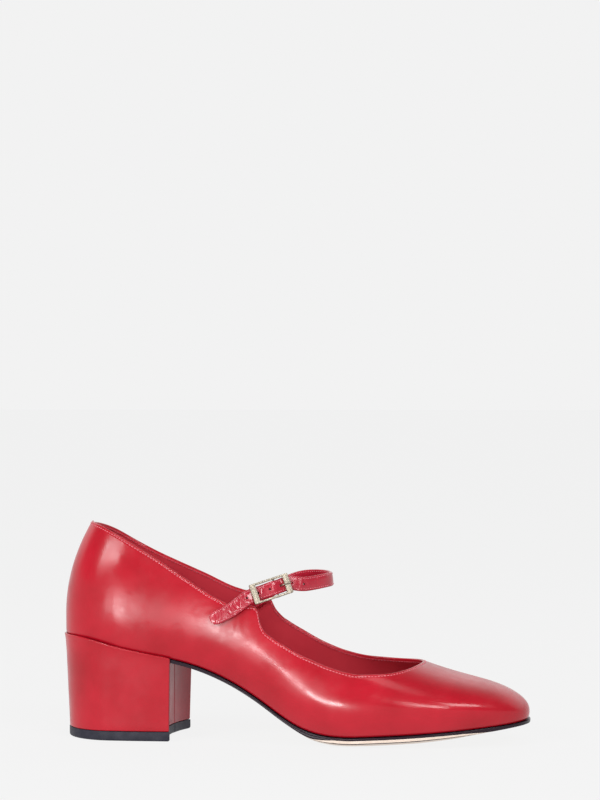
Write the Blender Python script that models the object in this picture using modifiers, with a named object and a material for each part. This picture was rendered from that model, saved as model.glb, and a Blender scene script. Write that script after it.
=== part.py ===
"""Mary jane shoe with a block heel, for a right foot, as its maker puts it together.

X runs from the heel to the toe, +Y is the medial side and Z is up. All lengths are in metres.
The pieces are worked out from one last: a form given by a few named sizes and a table of stations.
"""
import math

import bmesh
import bpy
import numpy as np
from mathutils import Matrix, Vector

NAME = "mary_jane_shoe"

# Sizes of the last
LENGTH = 0.2417           # back of the counter to the tip of the toe
BALL_WIDTH = 0.080        # across the upper at the ball
HEEL_HEIGHT = 0.0525      # feather edge at the back, above the floor
BALL_EDGE = 0.0053        # feather edge at the ball, above the floor
TOE_SPRING = 0.0070       # rise of the feather edge from the ball to the toe
INSTEP_HEIGHT = 0.060     # ridge of the last above the feather edge, behind the ball
FULL_HEIGHT = 0.0135      # widest level above the feather edge, at the ball
QUARTER_HEIGHT = 0.058    # topline above the feather edge, at the back
HEEL_LEAN = 0.0129        # how far the collar leans forward over the counter
LEAN_START = 0.2          # share of the quarter's height where that lean begins
LEAN_SPREAD = 0.7         # share of the lean that reaches the widest part of the counter
TOE_TUCK = 0.0012         # how far the feather edge lies behind the tip of the toe

# Walls, layers and clearances
FIT_GAP = 0.0003          # between pieces that touch
UPPER_WALL = 0.0018
TURN_RADIUS = 0.0026      # of the upper's turn under the foot
TURN_INWARD = 0.8         # share of that radius by which the turn runs in under the foot
LASTING_MARGIN = 0.0028   # flat margin of the upper under the insole
INSOLE_THICKNESS = 0.0011
BED_DISH = 0.0015         # dip of the foot bed along its middle, at the ball
SOLE_EDGE = 0.0029        # height of the outsole's edge, at the ball
SOLE_CROWN = 0.0036       # how far the outsole's middle hangs below its edge, at the ball

# Heel block and top piece
HEEL_LENGTH = 0.0598      # back of the counter to the lateral corner of the breast
HEEL_LEDGE = 0.0008       # how far the heel cover stands out from the upper
HEEL_RIM = 0.0007         # how far the heel cover laps up over the upper
BACK_TAPER = 0.0029
SIDE_TAPER = 0.0022
BREAST_HOLLOW = 0.0052    # depth of the hollow in the breast
BREAST_SPREAD = 0.0256    # half width over which the hollow reaches that depth
BREAST_SKEW = 0.0020      # how far the hollow's centre lies to the lateral side
TOP_PIECE_HEIGHT = 0.0050
TOP_PIECE_PROUD = 0.0002
TOP_PIECE_ROUND = 0.0011  # radius of its lower edge
HEEL_STEPS = 14           # facets round the back of the heel
SEAT_OVER = 0.0116        # height of the seat's cutter above the upper's turn

# Strap
STRAP_WIDTH = 0.0072
STRAP_THICKNESS = 0.0014
STRAP_REACH = 0.0400      # ears to the front of the strap's arch
STRAP_RISE = 0.0110       # ears to the height of the strap's arch
ARCH_TILT = 0.12          # how far the strap's face tips back over the arch
ARCH_SPREAD = 0.2         # share of the ball's width on each side of the axis that tips so
STRAP_STEP = 0.0021       # between the strap's cross sections
HOLE_PITCH = 0.0062
HOLE_RADIUS = 0.0005
USED_HOLE_RADIUS = 0.0009

# Buckle and its tab
BUCKLE_LENGTH = 0.0210
BUCKLE_WIDTH = 0.0105
BUCKLE_BAR = 0.0031       # width of the two end bars
BUCKLE_RAIL = 0.0011      # width of the two long rails
BUCKLE_DEPTH = 0.0013
BUCKLE_BEVEL = 0.00015
BULGE_CENTRE = 0.0012     # top of the strap's rise, ahead of the buckle's middle
HINGE_AHEAD = 0.0031      # centre bar ahead of the buckle's middle
HINGE_RADIUS = 0.00045
HINGE_LUG = 0.0012        # width of the two lugs that hold the centre bar
PRONG_HOLE = 0.0055       # hole in use ahead of the buckle's middle
PRONG_RADIUS = 0.00035
TAB_WIDTH = 0.0060
TAB_THICKNESS = 0.0006
TAB_START = 0.0058        # from the strap's tip
TAB_DROP = STRAP_THICKNESS / 2 + FIT_GAP + TAB_THICKNESS / 2
TAB_SWING = HINGE_RADIUS + FIT_GAP + TAB_THICKNESS / 2

# Places along the last, as shares of its length
HEEL_CENTRE = 0.12
TOE_CENTRE = 0.68
TOE_FAN = 0.6             # how much closer the ribs lie at the tip of the toe than at its sides
EAR = 0.412
THROAT_TIP = 0.7736
THROAT_EASE = 0.19         # how fast the throat's sides close in where its round begins
NOSE_PLAN = 0.80
NOSE_RIDGE = 0.90
SPRING_START = 0.635      # where the feather edge starts to rise to the toe

# Roundness: powers of the superellipses that close the last, and of the toe's rise
TOE_POWER = 2.3
COUNTER_POWER = 2.1
RIDGE_POWER = 2.5
SPRING_POWER = 1.3

# Stations of the last. Widths and tucks are shares of half the ball's width, drop is a share of the
# feather edge's fall from heel to ball, full of FULL_HEIGHT and ridge of INSTEP_HEIGHT.
LAST_COLUMNS = ("at", "lateral", "medial", "tuck_lateral", "tuck_medial", "drop", "full", "ridge")
LAST_ROWS = (
    (0.00, 0.700, 0.700, 0.020, 0.020, 1.000, 0.96, 1.283),
    (0.06, 0.720, 0.720, 0.025, 0.025, 0.988, 0.96, 1.293),
    (0.12, 0.730, 0.720, 0.030, 0.030, 0.916, 1.00, 1.350),
    (0.20, 0.725, 0.705, 0.045, 0.055, 0.827, 1.10, 1.372),
    (0.28, 0.715, 0.685, 0.070, 0.105, 0.742, 1.25, 1.322),
    (0.36, 0.735, 0.680, 0.100, 0.165, 0.592, 1.38, 1.250),
    (0.44, 0.800, 0.715, 0.115, 0.200, 0.362, 1.38, 1.208),
    (0.52, 0.900, 0.800, 0.120, 0.190, 0.105, 1.25, 1.147),
    (0.58, 0.960, 0.885, 0.115, 0.150, 0.012, 1.11, 1.000),
    (0.66, 1.000, 0.975, 0.105, 0.110, 0.000, 1.00, 0.772),
    (0.74, 0.975, 1.000, 0.095, 0.090, 0.000, 0.93, 0.613),
    (0.82, 0.900, 0.965, 0.080, 0.075, 0.000, 0.81, 0.477),
    (0.90, 0.800, 0.905, 0.060, 0.060, 0.000, 0.63, 0.364),
    (1.00, 0.700, 0.830, 0.040, 0.040, 0.000, 0.25, 0.220),
)

# Topline behind the throat, above the feather edge, as shares of QUARTER_HEIGHT
TOPLINE_COLUMNS = ("at", "lateral", "medial")
TOPLINE_ROWS = (
    (0.040, 1.030, 1.030),
    (0.080, 1.024, 0.978),
    (0.120, 1.000, 0.918),
    (0.200, 0.890, 0.818),
    (0.280, 0.750, 0.743),
    (0.340, 0.680, 0.712),
    (0.370, 0.675, 0.728),
    (0.392, 0.715, 0.768),
    (0.415, 0.762, 0.808),
    (0.430, 0.790, 0.790),
    (0.436, 0.784, 0.752),
    (0.440, 0.730, 0.728),
    (0.443, 0.688, 0.717),
    (0.450, 0.652, 0.703),
    (0.460, 0.638, 0.692),
    (0.475, 0.638, 0.693),
    (0.503, 0.647, 0.697),
    (0.548, 0.640, 0.676),
    (0.590, 0.606, 0.640),
    (0.629, 0.567, 0.606),
    (0.655, 0.546, 0.589),
    (0.680, 0.541, 0.578),
)

# The outsole: share of SOLE_CROWN by which it hangs below its edge, and share of SOLE_EDGE
SOLE_COLUMNS = ("at", "crown", "edge")
SOLE_ROWS = (
    (0.20, 0.23, 0.55),
    (0.36, 0.26, 0.55),
    (0.44, 0.33, 0.55),
    (0.50, 0.60, 0.60),
    (0.56, 1.00, 0.94),
    (0.62, 1.00, 1.00),
    (0.76, 1.00, 1.00),
    (0.84, 1.00, 0.88),
    (0.90, 0.78, 0.70),
    (0.96, 0.44, 0.53),
    (1.00, 0.22, 0.46),
)

# Narrowing of the heel below its rim: share of its height, share of its taper
HEEL_RINGS = ((0.0, 0.0), (0.07, 0.18), (0.20, 0.34), (0.60, 0.67), (1.0, 1.0))

# The strap's two ends on the quarters: share of LENGTH and of STRAP_RISE below the lateral ear
TIP_ROWS = ((0.339, 0.710), (0.360, 0.500), (0.384, 0.230))
ROOT_ROWS = ((0.405, 0.040), (0.385, 0.270))

# Free stretch of the strap: shares of STRAP_REACH, of the lateral ear's half width and of STRAP_RISE
STRAP_ROWS = (
    (0.640, -0.645, 0.940),
    (0.790, -0.465, 0.945),
    (0.940, -0.220, 1.030),
    (1.000, 0.030, 1.065),
    (0.955, 0.250, 1.090),
    (0.840, 0.440, 1.100),
    (0.675, 0.600, 1.070),
    (0.490, 0.700, 0.940),
    (0.300, 0.742, 0.660),
    (0.125, 0.750, 0.340),
)

# Rise of the prong through its hole: share of the hole's slack, and of the height it climbs
PRONG_ROWS = ((-1.25, 0.12), (-0.45, 0.27), (-0.05, 0.44), (0.20, 0.61), (0.75, 0.78), (1.65, 0.92),
              (3.00, 1.00))

# Ends of the buckle's centre line, in the same shares as the strap
BUCKLE_REAR = (0.063, -1.030, 0.430)
BUCKLE_FRONT = (0.543, -0.700, 1.012)

RED = (0.55, 0.045, 0.055, 1.0)
LINING_RED = (0.36, 0.030, 0.045, 1.0)
BEIGE = (0.78, 0.62, 0.48, 1.0)
CHARCOAL = (0.03, 0.03, 0.045, 1.0)
GOLD = (0.72, 0.62, 0.48, 1.0)


# Curves through table columns

def column(rows, names, name):
    """One named column of a table."""
    return np.array([row[names.index(name)] for row in rows])


def hermite(xs, ys, slopes):
    """Cubic curve with the given slope at each point."""
    def value(x):
        x = np.clip(x, xs[0], xs[-1])
        i = np.clip(np.searchsorted(xs, x, side="right") - 1, 0, len(xs) - 2)
        step = xs[i + 1] - xs[i]
        t = (x - xs[i]) / step
        rise = t * t * (3 - 2 * t)
        lead = t * (1 - t) ** 2 * slopes[i]
        trail = t * t * (t - 1) * slopes[i + 1]
        return ys[i] + (ys[i + 1] - ys[i]) * rise + step * (lead + trail)
    return value


def flowing(xs, ys):
    """Natural cubic spline: curvature runs on through every point."""
    steps = np.diff(xs)
    grades = np.diff(ys) / steps
    count = len(xs)
    matrix = np.zeros((count, count))
    right = np.zeros(count)
    matrix[0, :2] = (2, 1)
    right[0] = 3 * grades[0]
    matrix[-1, -2:] = (1, 2)
    right[-1] = 3 * grades[-1]
    for k in range(1, count - 1):
        matrix[k, k - 1:k + 2] = (steps[k], 2 * (steps[k - 1] + steps[k]), steps[k - 1])
        right[k] = 3 * (steps[k] * grades[k - 1] + steps[k - 1] * grades[k])
    return hermite(xs, ys, np.linalg.solve(matrix, right))


def steady(xs, ys):
    """Curve that never swings past its points."""
    grades = np.diff(ys) / np.diff(xs)
    slopes = np.zeros(len(xs))
    for k in range(1, len(xs) - 1):
        if grades[k - 1] * grades[k] > 0:
            slopes[k] = 2 * grades[k - 1] * grades[k] / (grades[k - 1] + grades[k])
    slopes[0], slopes[-1] = grades[0], grades[-1]
    return hermite(xs, ys, slopes)


def last_curve(name):
    return flowing(column(LAST_ROWS, LAST_COLUMNS, "at"), column(LAST_ROWS, LAST_COLUMNS, name))


def topline_curve(name):
    return steady(column(TOPLINE_ROWS, TOPLINE_COLUMNS, "at"),
                  column(TOPLINE_ROWS, TOPLINE_COLUMNS, name))


def sole_curve(name):
    return steady(column(SOLE_ROWS, SOLE_COLUMNS, "at"), column(SOLE_ROWS, SOLE_COLUMNS, name))


WIDTH_LATERAL, WIDTH_MEDIAL = last_curve("lateral"), last_curve("medial")
TUCK_LATERAL, TUCK_MEDIAL = last_curve("tuck_lateral"), last_curve("tuck_medial")
DROP, FULL, RIDGE = last_curve("drop"), last_curve("full"), last_curve("ridge")
TOP_LATERAL, TOP_MEDIAL = topline_curve("lateral"), topline_curve("medial")
CROWN, EDGE = sole_curve("crown"), sole_curve("edge")


# The last as a function of station, height and side

def nose(x, start, end, power):
    """Falls from 1 at start to 0 at end, round like a superellipse."""
    t = np.clip((x - start) / (end - start), 0, 1)
    return (1 - t ** power) ** (1 / power)


def feather(x):
    """Height of the feather edge, where the upper turns under the foot."""
    at = np.clip(x / LENGTH, 0, 1)
    spring = np.clip((at - SPRING_START) / (1 - SPRING_START), 0, 1) ** SPRING_POWER
    return BALL_EDGE + (HEEL_HEIGHT - BALL_EDGE) * DROP(at) + TOE_SPRING * spring


def slant(x):
    """Length along the feather edge for each unit of station."""
    step = 1e-4
    return np.sqrt(1 + ((feather(x + step) - feather(x - step)) / (2 * step)) ** 2)


def fullest(x):
    """Height of the last's widest level."""
    return feather(x) + FULL_HEIGHT * FULL(x / LENGTH)


def ridge(x):
    """Height of the last's ridge, a line that the collar cuts off behind the throat."""
    free = feather(x) + INSTEP_HEIGHT * RIDGE(x / LENGTH)
    wide = fullest(x)
    return wide + (free - wide) * nose(x, NOSE_RIDGE * LENGTH, LENGTH, RIDGE_POWER)


def full_width(x, side):
    """Half width at the widest level, before the ends close in."""
    at = x / LENGTH
    return 0.5 * BALL_WIDTH * np.where(side < 0, WIDTH_LATERAL(at), WIDTH_MEDIAL(at))


def collar_lean(z):
    """How far the back of the last leans forward at a height."""
    share = np.clip((z - HEEL_HEIGHT) / QUARTER_HEIGHT, 0, 1.2)
    return HEEL_LEAN * (np.clip(share - LEAN_START, 0, None) / (1 - LEAN_START)) ** 2


def half_width(x, z, side):
    """Distance from the axis to the last's surface."""
    at = x / LENGTH
    low, wide = feather(x), fullest(x)
    tuck = 0.5 * BALL_WIDTH * np.where(side < 0, TUCK_LATERAL(at), TUCK_MEDIAL(at))
    below = np.clip((wide - z) / (wide - low), 0, 1.2)
    above = np.clip((z - wide) / np.maximum(ridge(x) - wide, 1e-7), 0, 1)
    body = (full_width(x, side) - tuck * below ** 2) * np.sqrt(1 - above ** 2)
    lean = collar_lean(z)
    toe = nose(x, NOSE_PLAN * LENGTH, LENGTH - TOE_TUCK * below ** 2, TOE_POWER)
    heel = nose(-x, -HEEL_CENTRE * LENGTH - LEAN_SPREAD * lean, -lean, COUNTER_POWER)
    return body * toe * heel


def topline(x, side):
    """Height at which the upper is cut: a table to the throat, then a round throat in plan."""
    at = x / LENGTH
    share = np.where(side < 0, TOP_LATERAL(at), TOP_MEDIAL(at))
    behind = feather(x) + QUARTER_HEIGHT * share
    start = TOE_CENTRE * LENGTH
    edge = feather(start) + QUARTER_HEIGHT * np.where(side < 0, TOP_LATERAL(TOE_CENTRE),
                                                      TOP_MEDIAL(TOE_CENTRE))
    ahead = np.clip((x - start) / (THROAT_TIP * LENGTH - start), 0, 1)
    round_plan = nose(x, start, THROAT_TIP * LENGTH, 2.0) - THROAT_EASE * ahead * (1 - ahead) ** 2
    open_width = half_width(start, edge, side) * round_plan
    lying = np.clip(open_width / full_width(x, side), 0, 1)
    round_throat = fullest(x) + (ridge(x) - fullest(x)) * np.sqrt(1 - lying ** 2)
    height = np.where(x > start, round_throat, behind)
    return np.where(x > THROAT_TIP * LENGTH, 1.0, height)


# Ribs: upright planes round the last

def last_ribs(stations, toe_steps, heel_steps):
    """Rows of centre x, direction x and direction y, from the lateral side round the toe.

    Ribs lie across the last along its sides and fan out round its toe and heel."""
    rows = [(x, 0.0, -1.0) for x in stations]
    for k in range(1, toe_steps):
        turn = math.pi * (k / toe_steps - 0.5)
        angle = math.atan2(TOE_FAN * math.sin(turn), math.cos(turn))
        rows.append((TOE_CENTRE * LENGTH, math.cos(angle), math.sin(angle)))
    rows += [(x, 0.0, 1.0) for x in reversed(stations)]
    for k in range(1, heel_steps):
        angle = math.pi * (k / heel_steps + 0.5)
        rows.append((HEEL_CENTRE * LENGTH, math.cos(angle), math.sin(angle)))
    return np.array(rows)


def side_stations(start, end, count):
    """Evenly spaced places along the last, in metres, from shares of its length."""
    return [LENGTH * (start + (end - start) * k / (count - 1)) for k in range(count)]


def rib_reach(ribs, z):
    """Distance along each rib to the last's surface, for a row of heights for each rib."""
    centre, along, across = (ribs[:, k:k + 1] for k in range(3))
    near = np.zeros_like(z)
    far = np.full_like(z, LENGTH / 2)
    for _ in range(36):
        middle = (near + far) / 2
        inside = np.abs(middle * across) < half_width(centre + middle * along, z, across)
        near = np.where(inside, middle, near)
        far = np.where(inside, far, middle)
    return near


def rib_points(ribs, reach, z):
    """Points at a distance along each rib and a height."""
    return np.stack([ribs[:, 0:1] + reach * ribs[:, 1:2], reach * ribs[:, 2:3], z], axis=-1)


def rib_foot(ribs):
    """Where the side of the last starts, above its turn under the foot: distance and height."""
    reach = np.full((len(ribs), 1), BALL_WIDTH / 2)
    for _ in range(12):
        z = feather(ribs[:, 0:1] + reach * ribs[:, 1:2]) + TURN_RADIUS
        reach = rib_reach(ribs, z)
    return reach, z


def rib_top(ribs, foot_z):
    """Height at which each rib meets the topline."""
    low = foot_z.copy()
    high = np.full_like(low, HEEL_HEIGHT + 1.2 * QUARTER_HEIGHT)
    for _ in range(36):
        middle = (low + high) / 2
        reach = rib_reach(ribs, middle)
        cut = middle > topline(ribs[:, 0:1] + reach * ribs[:, 1:2], ribs[:, 2:3])
        low = np.where(cut, low, middle)
        high = np.where(cut, middle, high)
    return low


def feather_reach(ribs):
    """Distance to the feather edge, and from there to the end of the upper's turn."""
    foot, foot_z = rib_foot(ribs)
    slope = (rib_reach(ribs, foot_z + TURN_RADIUS) - foot) / TURN_RADIUS
    edge = foot - slope * TURN_RADIUS
    return foot, foot_z, edge, edge - TURN_INWARD * TURN_RADIUS


def lining_reach(ribs, z):
    """Distance to the wall's inner face, which leans as the outer face does at that height."""
    step = TURN_RADIUS / 10
    reach = rib_reach(ribs, z)
    slope = (rib_reach(ribs, z + step) - reach) / step
    return reach - UPPER_WALL * np.sqrt(1 + slope ** 2)


def turn_rows(ribs, steps, lift):
    """The turn under the foot from the foot of the side inward, pushed out by lift."""
    foot, _, edge, inner = feather_reach(ribs)
    rows = []
    for k in range(steps + 1):
        t = k / steps
        reach = (1 - t) ** 2 * foot + 2 * t * (1 - t) * edge + t * t * inner
        height = (1 - t) ** 2 * TURN_RADIUS
        reach = reach + lift * (1 - t)
        z = feather(ribs[:, 0:1] + reach * ribs[:, 1:2]) + height - lift * t
        rows.append((reach, z))
    return rows


def upper_grid(ribs, levels, fine=60):
    """Points of the upper's outer face: a row for each rib, from its margin to the topline."""
    foot, foot_z = rib_foot(ribs)
    share = np.linspace(0, 1, fine)[None, :]
    z = foot_z + (rib_top(ribs, foot_z) - foot_z) * share
    points = rib_points(ribs, rib_reach(ribs, z), z)
    steps = np.linalg.norm(np.diff(points, axis=1), axis=2)
    run = np.concatenate([np.zeros((len(ribs), 1)), np.cumsum(steps, axis=1)], axis=1)
    even = np.linspace(0, 1, levels)
    side = np.empty((len(ribs), levels, 3))
    for i in range(len(ribs)):
        for axis in range(3):
            side[i, :, axis] = np.interp(even * run[i, -1], run[i], points[i, :, axis])
    turn = turn_rows(ribs, 3, 0.0)
    margin = turn[-1][0] - LASTING_MARGIN
    margin_z = feather(ribs[:, 0:1] + margin * ribs[:, 1:2])
    under = [rib_points(ribs, margin, margin_z)]
    under += [rib_points(ribs, reach, z) for reach, z in reversed(turn[1:])]
    return np.concatenate(under + [side], axis=1)


# Mesh helpers

def new_object(name, mesh_data, collection, material=None):
    obj = bpy.data.objects.new(name, mesh_data)
    collection.objects.link(obj)
    if material:
        mesh_data.materials.append(material)
    return obj


def mesh_from(name, vertices, faces):
    """Mesh with coincident points joined and its faces pointing out."""
    data = bpy.data.meshes.new(name)
    work = bmesh.new()
    made = [work.verts.new(tuple(v)) for v in vertices]
    for face in faces:
        work.faces.new([made[i] for i in face])
    bmesh.ops.remove_doubles(work, verts=work.verts, dist=1e-6)
    bmesh.ops.recalc_face_normals(work, faces=work.faces)
    work.to_mesh(data)
    work.free()
    return data


def soften(obj, angle):
    """Smooth shading with edges sharper than an angle kept crisp."""
    obj.data.shade_smooth()
    obj.data.set_sharp_from_angle(angle=math.radians(angle))


def plate_mesh(name, ribs, shares, outline, bottom, top, sides=(), closed=True):
    """Solid plate over the ribs' feet, with its faces worked out from x, y and share of the way out.

    outline is the distance out along each rib at the lower edge. sides holds further rings of
    distance and height between the lower and the upper edge, which may have its own distance.
    An open plate has a wall across its rear end."""
    count = len(ribs)
    low_edge = outline
    high_edge = sides[-1][0] if sides else outline
    rings = []
    for share in shares:
        reach = low_edge * share
        flat = rib_points(ribs, reach, np.zeros((count, 1)))[:, 0, :2]
        rings.append(np.column_stack([flat, bottom(flat[:, 0], flat[:, 1], share)]))
    for reach, z in sides[:-1]:
        rings.append(rib_points(ribs, reach, z)[:, 0, :])
    for share in reversed(shares):
        reach = high_edge * share
        flat = rib_points(ribs, reach, np.zeros((count, 1)))[:, 0, :2]
        rings.append(np.column_stack([flat, top(flat[:, 0], flat[:, 1], share)]))
    vertices = np.concatenate(rings)
    faces = []
    spans = count if closed else count - 1
    for r in range(len(rings) - 1):
        for i in range(spans):
            j = (i + 1) % count
            a, b = r * count, (r + 1) * count
            faces.append((a + i, a + j, b + j, b + i))
    if not closed:
        last = len(rings) - 1
        middle = len(sides[:-1])
        for k in range(len(shares) - 1):
            for end in (0, count - 1):
                low_in, low_out = k * count + end, (k + 1) * count + end
                high_in, high_out = (last - k) * count + end, (last - k - 1) * count + end
                between = []
                if k == len(shares) - 2:
                    between = [(len(shares) + m) * count + end for m in range(middle)]
                faces.append([low_in, low_out] + between + [high_out, high_in])
    return clean_mesh(name, vertices, faces)


def clean_mesh(name, vertices, faces):
    """Joins coincident points first, so that faces on a fold line become triangles or vanish."""
    keys = {}
    where = []
    kept = []
    for v in vertices:
        key = tuple(int(round(c * 1e7)) for c in v)
        if key not in keys:
            keys[key] = len(kept)
            kept.append(v)
        where.append(keys[key])
    clean = []
    for face in faces:
        ids = []
        for i in face:
            if where[i] not in ids:
                ids.append(where[i])
        if len(ids) > 2:
            clean.append(ids)
    return mesh_from(name, kept, clean)


def cut(obj, cutter, name):
    """Exact difference that stays on the object."""
    modifier = obj.modifiers.new(name, "BOOLEAN")
    modifier.operation = "DIFFERENCE"
    modifier.solver = "EXACT"
    modifier.object = cutter


def hide_cutter(obj):
    obj.hide_render = True
    obj.display_type = "WIRE"


def material(name, colour, roughness, metallic=0.0):
    made = bpy.data.materials.new(name)
    made.use_nodes = True
    shader = made.node_tree.nodes["Principled BSDF"]
    shader.inputs["Base Color"].default_value = colour
    shader.inputs["Roughness"].default_value = roughness
    shader.inputs["Metallic"].default_value = metallic
    return made


# Upper

def build_upper(collection, leather):
    """One hollow wall, open along the topline and under the foot."""
    stations = side_stations(HEEL_CENTRE, 0.36, 7)[:-1] + side_stations(0.36, 0.436, 8)[:-1]
    stations += side_stations(0.436, 0.47, 6)[:-1] + side_stations(0.47, TOE_CENTRE, 7)
    ribs = last_ribs(stations, 42, 14)
    grid = upper_grid(ribs, 11)
    count, levels = grid.shape[:2]
    faces = []
    for i in range(count):
        j = (i + 1) % count
        for k in range(levels - 1):
            a, b = i * levels + k, j * levels + k
            faces.append((a, b, b + 1, a + 1))
    data = bpy.data.meshes.new("upper")
    data.from_pydata([tuple(v) for v in grid.reshape(-1, 3)], [], faces)
    upper = new_object("upper", data, collection, leather)
    wall = upper.modifiers.new("wall", "SOLIDIFY")
    wall.thickness = UPPER_WALL
    wall.offset = -1
    wall.use_even_offset = True
    soften(upper, 50)
    return upper


# Insole and outsole

def dish(y, width, share_of_dish):
    """Dip across the foot bed, deepest on the axis."""
    return share_of_dish * BED_DISH * (1 - np.clip(np.abs(y) / width, 0, 1) ** 2)


def build_insole(collection, lining):
    """Sock on the upper's margin, inside the wall all round."""
    ribs = last_ribs(side_stations(HEEL_CENTRE, TOE_CENTRE, 15), 18, 12)
    _, foot_z = rib_foot(ribs)
    lower = lining_reach(ribs, foot_z) - 4 * FIT_GAP
    upper = lining_reach(ribs, foot_z + 0.7 * INSOLE_THICKNESS) - 3 * FIT_GAP

    def bed(x, y, share):
        lift = (UPPER_WALL + 1.8 * FIT_GAP) * slant(x)
        return feather(x) + lift - dish(y, BALL_WIDTH / 2, 1 - share ** 2) * CROWN(x / LENGTH)

    def sock(x, y, share):
        return bed(x, y, share) + INSOLE_THICKNESS

    data = plate_mesh("insole", ribs, (0, 0.45, 0.85, 1.0), lower, bed, sock, [(upper, None)])
    insole = new_object("insole", data, collection, lining)
    soften(insole, 40)
    return insole


def breast_circle():
    """Centre and radius of the round hollow that passes through the lateral corner."""
    radius = (BREAST_SPREAD ** 2 + BREAST_HOLLOW ** 2) / (2 * BREAST_HOLLOW)
    centre = HEEL_LENGTH + math.sqrt(radius ** 2 - (BREAST_SPREAD - BREAST_SKEW) ** 2)
    return centre, radius


def breast_line(y):
    """Station of the hollow breast at a distance from the axis."""
    centre, radius = breast_circle()
    across = np.minimum(np.abs(y + BREAST_SKEW), 1.3 * BREAST_SPREAD)
    return centre - np.sqrt(radius ** 2 - across ** 2)


def build_outsole(collection, leather):
    """Thin at the waist, crowned across the tread, with a flat spot under the ball."""
    start = HEEL_LENGTH / LENGTH
    stations = side_stations(start, TOE_CENTRE, 15)
    ribs = last_ribs(stations, 20, 0)
    _, _, edge, _ = feather_reach(ribs)
    outline = edge + FIT_GAP
    run_out = 4 * (stations[1] - stations[0])

    def hollow_end(x, y):
        """Pulls the rear rows back onto the hollow breast."""
        fade = np.clip(1 - (x - HEEL_LENGTH) / run_out, 0, 1)
        return x + (breast_line(y) + FIT_GAP - HEEL_LENGTH) * fade

    def upper_face(x, y, share):
        return feather(x) - FIT_GAP - dish(y, BALL_WIDTH / 2, 1 - share ** 2) * CROWN(x / LENGTH)

    def lower_face(x, y, share):
        hang = SOLE_CROWN * CROWN(x / LENGTH) * (1 - share ** 3)
        return np.maximum(feather(x) - FIT_GAP - SOLE_EDGE * EDGE(x / LENGTH) - hang, 0.0)

    shares = (0, 0.3, 0.52, 0.68, 0.84, 0.95, 1.0)
    data = plate_mesh("outsole", ribs, shares, outline, lower_face, upper_face, closed=False)
    for vertex in data.vertices:
        vertex.co.x = float(hollow_end(vertex.co.x, vertex.co.y))
    outsole = new_object("outsole", data, collection, leather)
    soften(outsole, 40)
    return outsole


# Heel block and top piece

def heel_ribs(front):
    stations = side_stations(HEEL_CENTRE, front / LENGTH, 6)
    rows = [(x, 0.0, -1.0) for x in reversed(stations)]
    for k in range(1, HEEL_STEPS):
        angle = -math.pi * (k / HEEL_STEPS + 0.5)
        rows.append((HEEL_CENTRE * LENGTH, math.cos(angle), math.sin(angle)))
    rows += [(x, 0.0, 1.0) for x in stations]
    return np.array(rows)


def heel_outline(ribs, narrowing):
    """Outline of the heel, a share of its taper in from the rim."""
    foot, _, _, _ = feather_reach(ribs)
    taper = BACK_TAPER * ribs[:, 1:2] ** 2 + SIDE_TAPER * ribs[:, 2:3] ** 2
    return foot + HEEL_LEDGE - narrowing * taper


def breast_cutter(collection):
    """Upright cylinder that hollows the breast."""
    centre, radius = breast_circle()
    work = bmesh.new()
    height = 2 * HEEL_HEIGHT
    middle = Matrix.Translation((centre, -BREAST_SKEW, 0.4 * height))
    bmesh.ops.create_cone(work, cap_ends=True, segments=180, radius1=radius, radius2=radius,
                          depth=height, matrix=middle)
    data = bpy.data.meshes.new("breast_cutter")
    work.to_mesh(data)
    work.free()
    cutter = new_object("breast_cutter", data, collection)
    hide_cutter(cutter)
    return cutter


def seat_cutter(collection):
    """The upper's outer form over the heel, a fit gap larger."""
    ribs = heel_ribs(0.36 * LENGTH)
    turn = turn_rows(ribs, 4, FIT_GAP)
    sides = [(reach, z) for reach, z in reversed(turn[:-1])]
    sides.append((turn[0][0], turn[0][1] + SEAT_OVER))

    def floor_face(x, y, share):
        return feather(x) - FIT_GAP

    def roof_face(x, y, share):
        return feather(x) + TURN_RADIUS + SEAT_OVER

    data = plate_mesh("seat_cutter", ribs, (0, 1.0), turn[-1][0], floor_face, roof_face, sides,
                      closed=False)
    cutter = new_object("seat_cutter", data, collection)
    hide_cutter(cutter)
    return cutter


def build_heel(collection, leather, breast, seat):
    """Leather-covered block whose rim laps up round the upper."""
    ribs = heel_ribs(HEEL_LENGTH + BREAST_HOLLOW)
    sides = []
    for down, narrowing in reversed(HEEL_RINGS[:-1]):
        reach = heel_outline(ribs, narrowing)
        rim = feather(ribs[:, 0:1] + reach * ribs[:, 1:2]) + HEEL_RIM
        sides.append((reach, rim + (TOP_PIECE_HEIGHT - rim) * down))

    def foot_face(x, y, share):
        return np.full(len(x), TOP_PIECE_HEIGHT)

    def rim_face(x, y, share):
        return feather(x) + HEEL_RIM

    data = plate_mesh("heel", ribs, (0, 1.0), heel_outline(ribs, 1.0), foot_face, rim_face, sides,
                      closed=False)
    heel = new_object("heel", data, collection, leather)
    cut(heel, breast, "breast")
    cut(heel, seat, "seat")
    soften(heel, 35)
    return heel


def build_top_piece(collection, rubber, breast):
    """Rubber lift with a rounded lower edge."""
    ribs = heel_ribs(HEEL_LENGTH + BREAST_HOLLOW)
    outline = heel_outline(ribs, 1.0) + TOP_PIECE_PROUD
    sides = []
    for angle in (30, 60, 90):
        turn = math.radians(angle)
        z = np.full_like(outline, TOP_PIECE_ROUND * (1 - math.cos(turn)))
        sides.append((outline - TOP_PIECE_ROUND * (1 - math.sin(turn)), z))
    sides.append((outline, None))

    def floor_face(x, y, share):
        return np.zeros(len(x))

    def seat_face(x, y, share):
        return np.full(len(x), TOP_PIECE_HEIGHT - FIT_GAP)

    data = plate_mesh("top_piece", ribs, (0, 1.0), outline - TOP_PIECE_ROUND, floor_face,
                      seat_face, sides, closed=False)
    piece = new_object("top_piece", data, collection, rubber)
    cut(piece, breast, "breast")
    soften(piece, 35)
    return piece


# Strap and buckle

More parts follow.
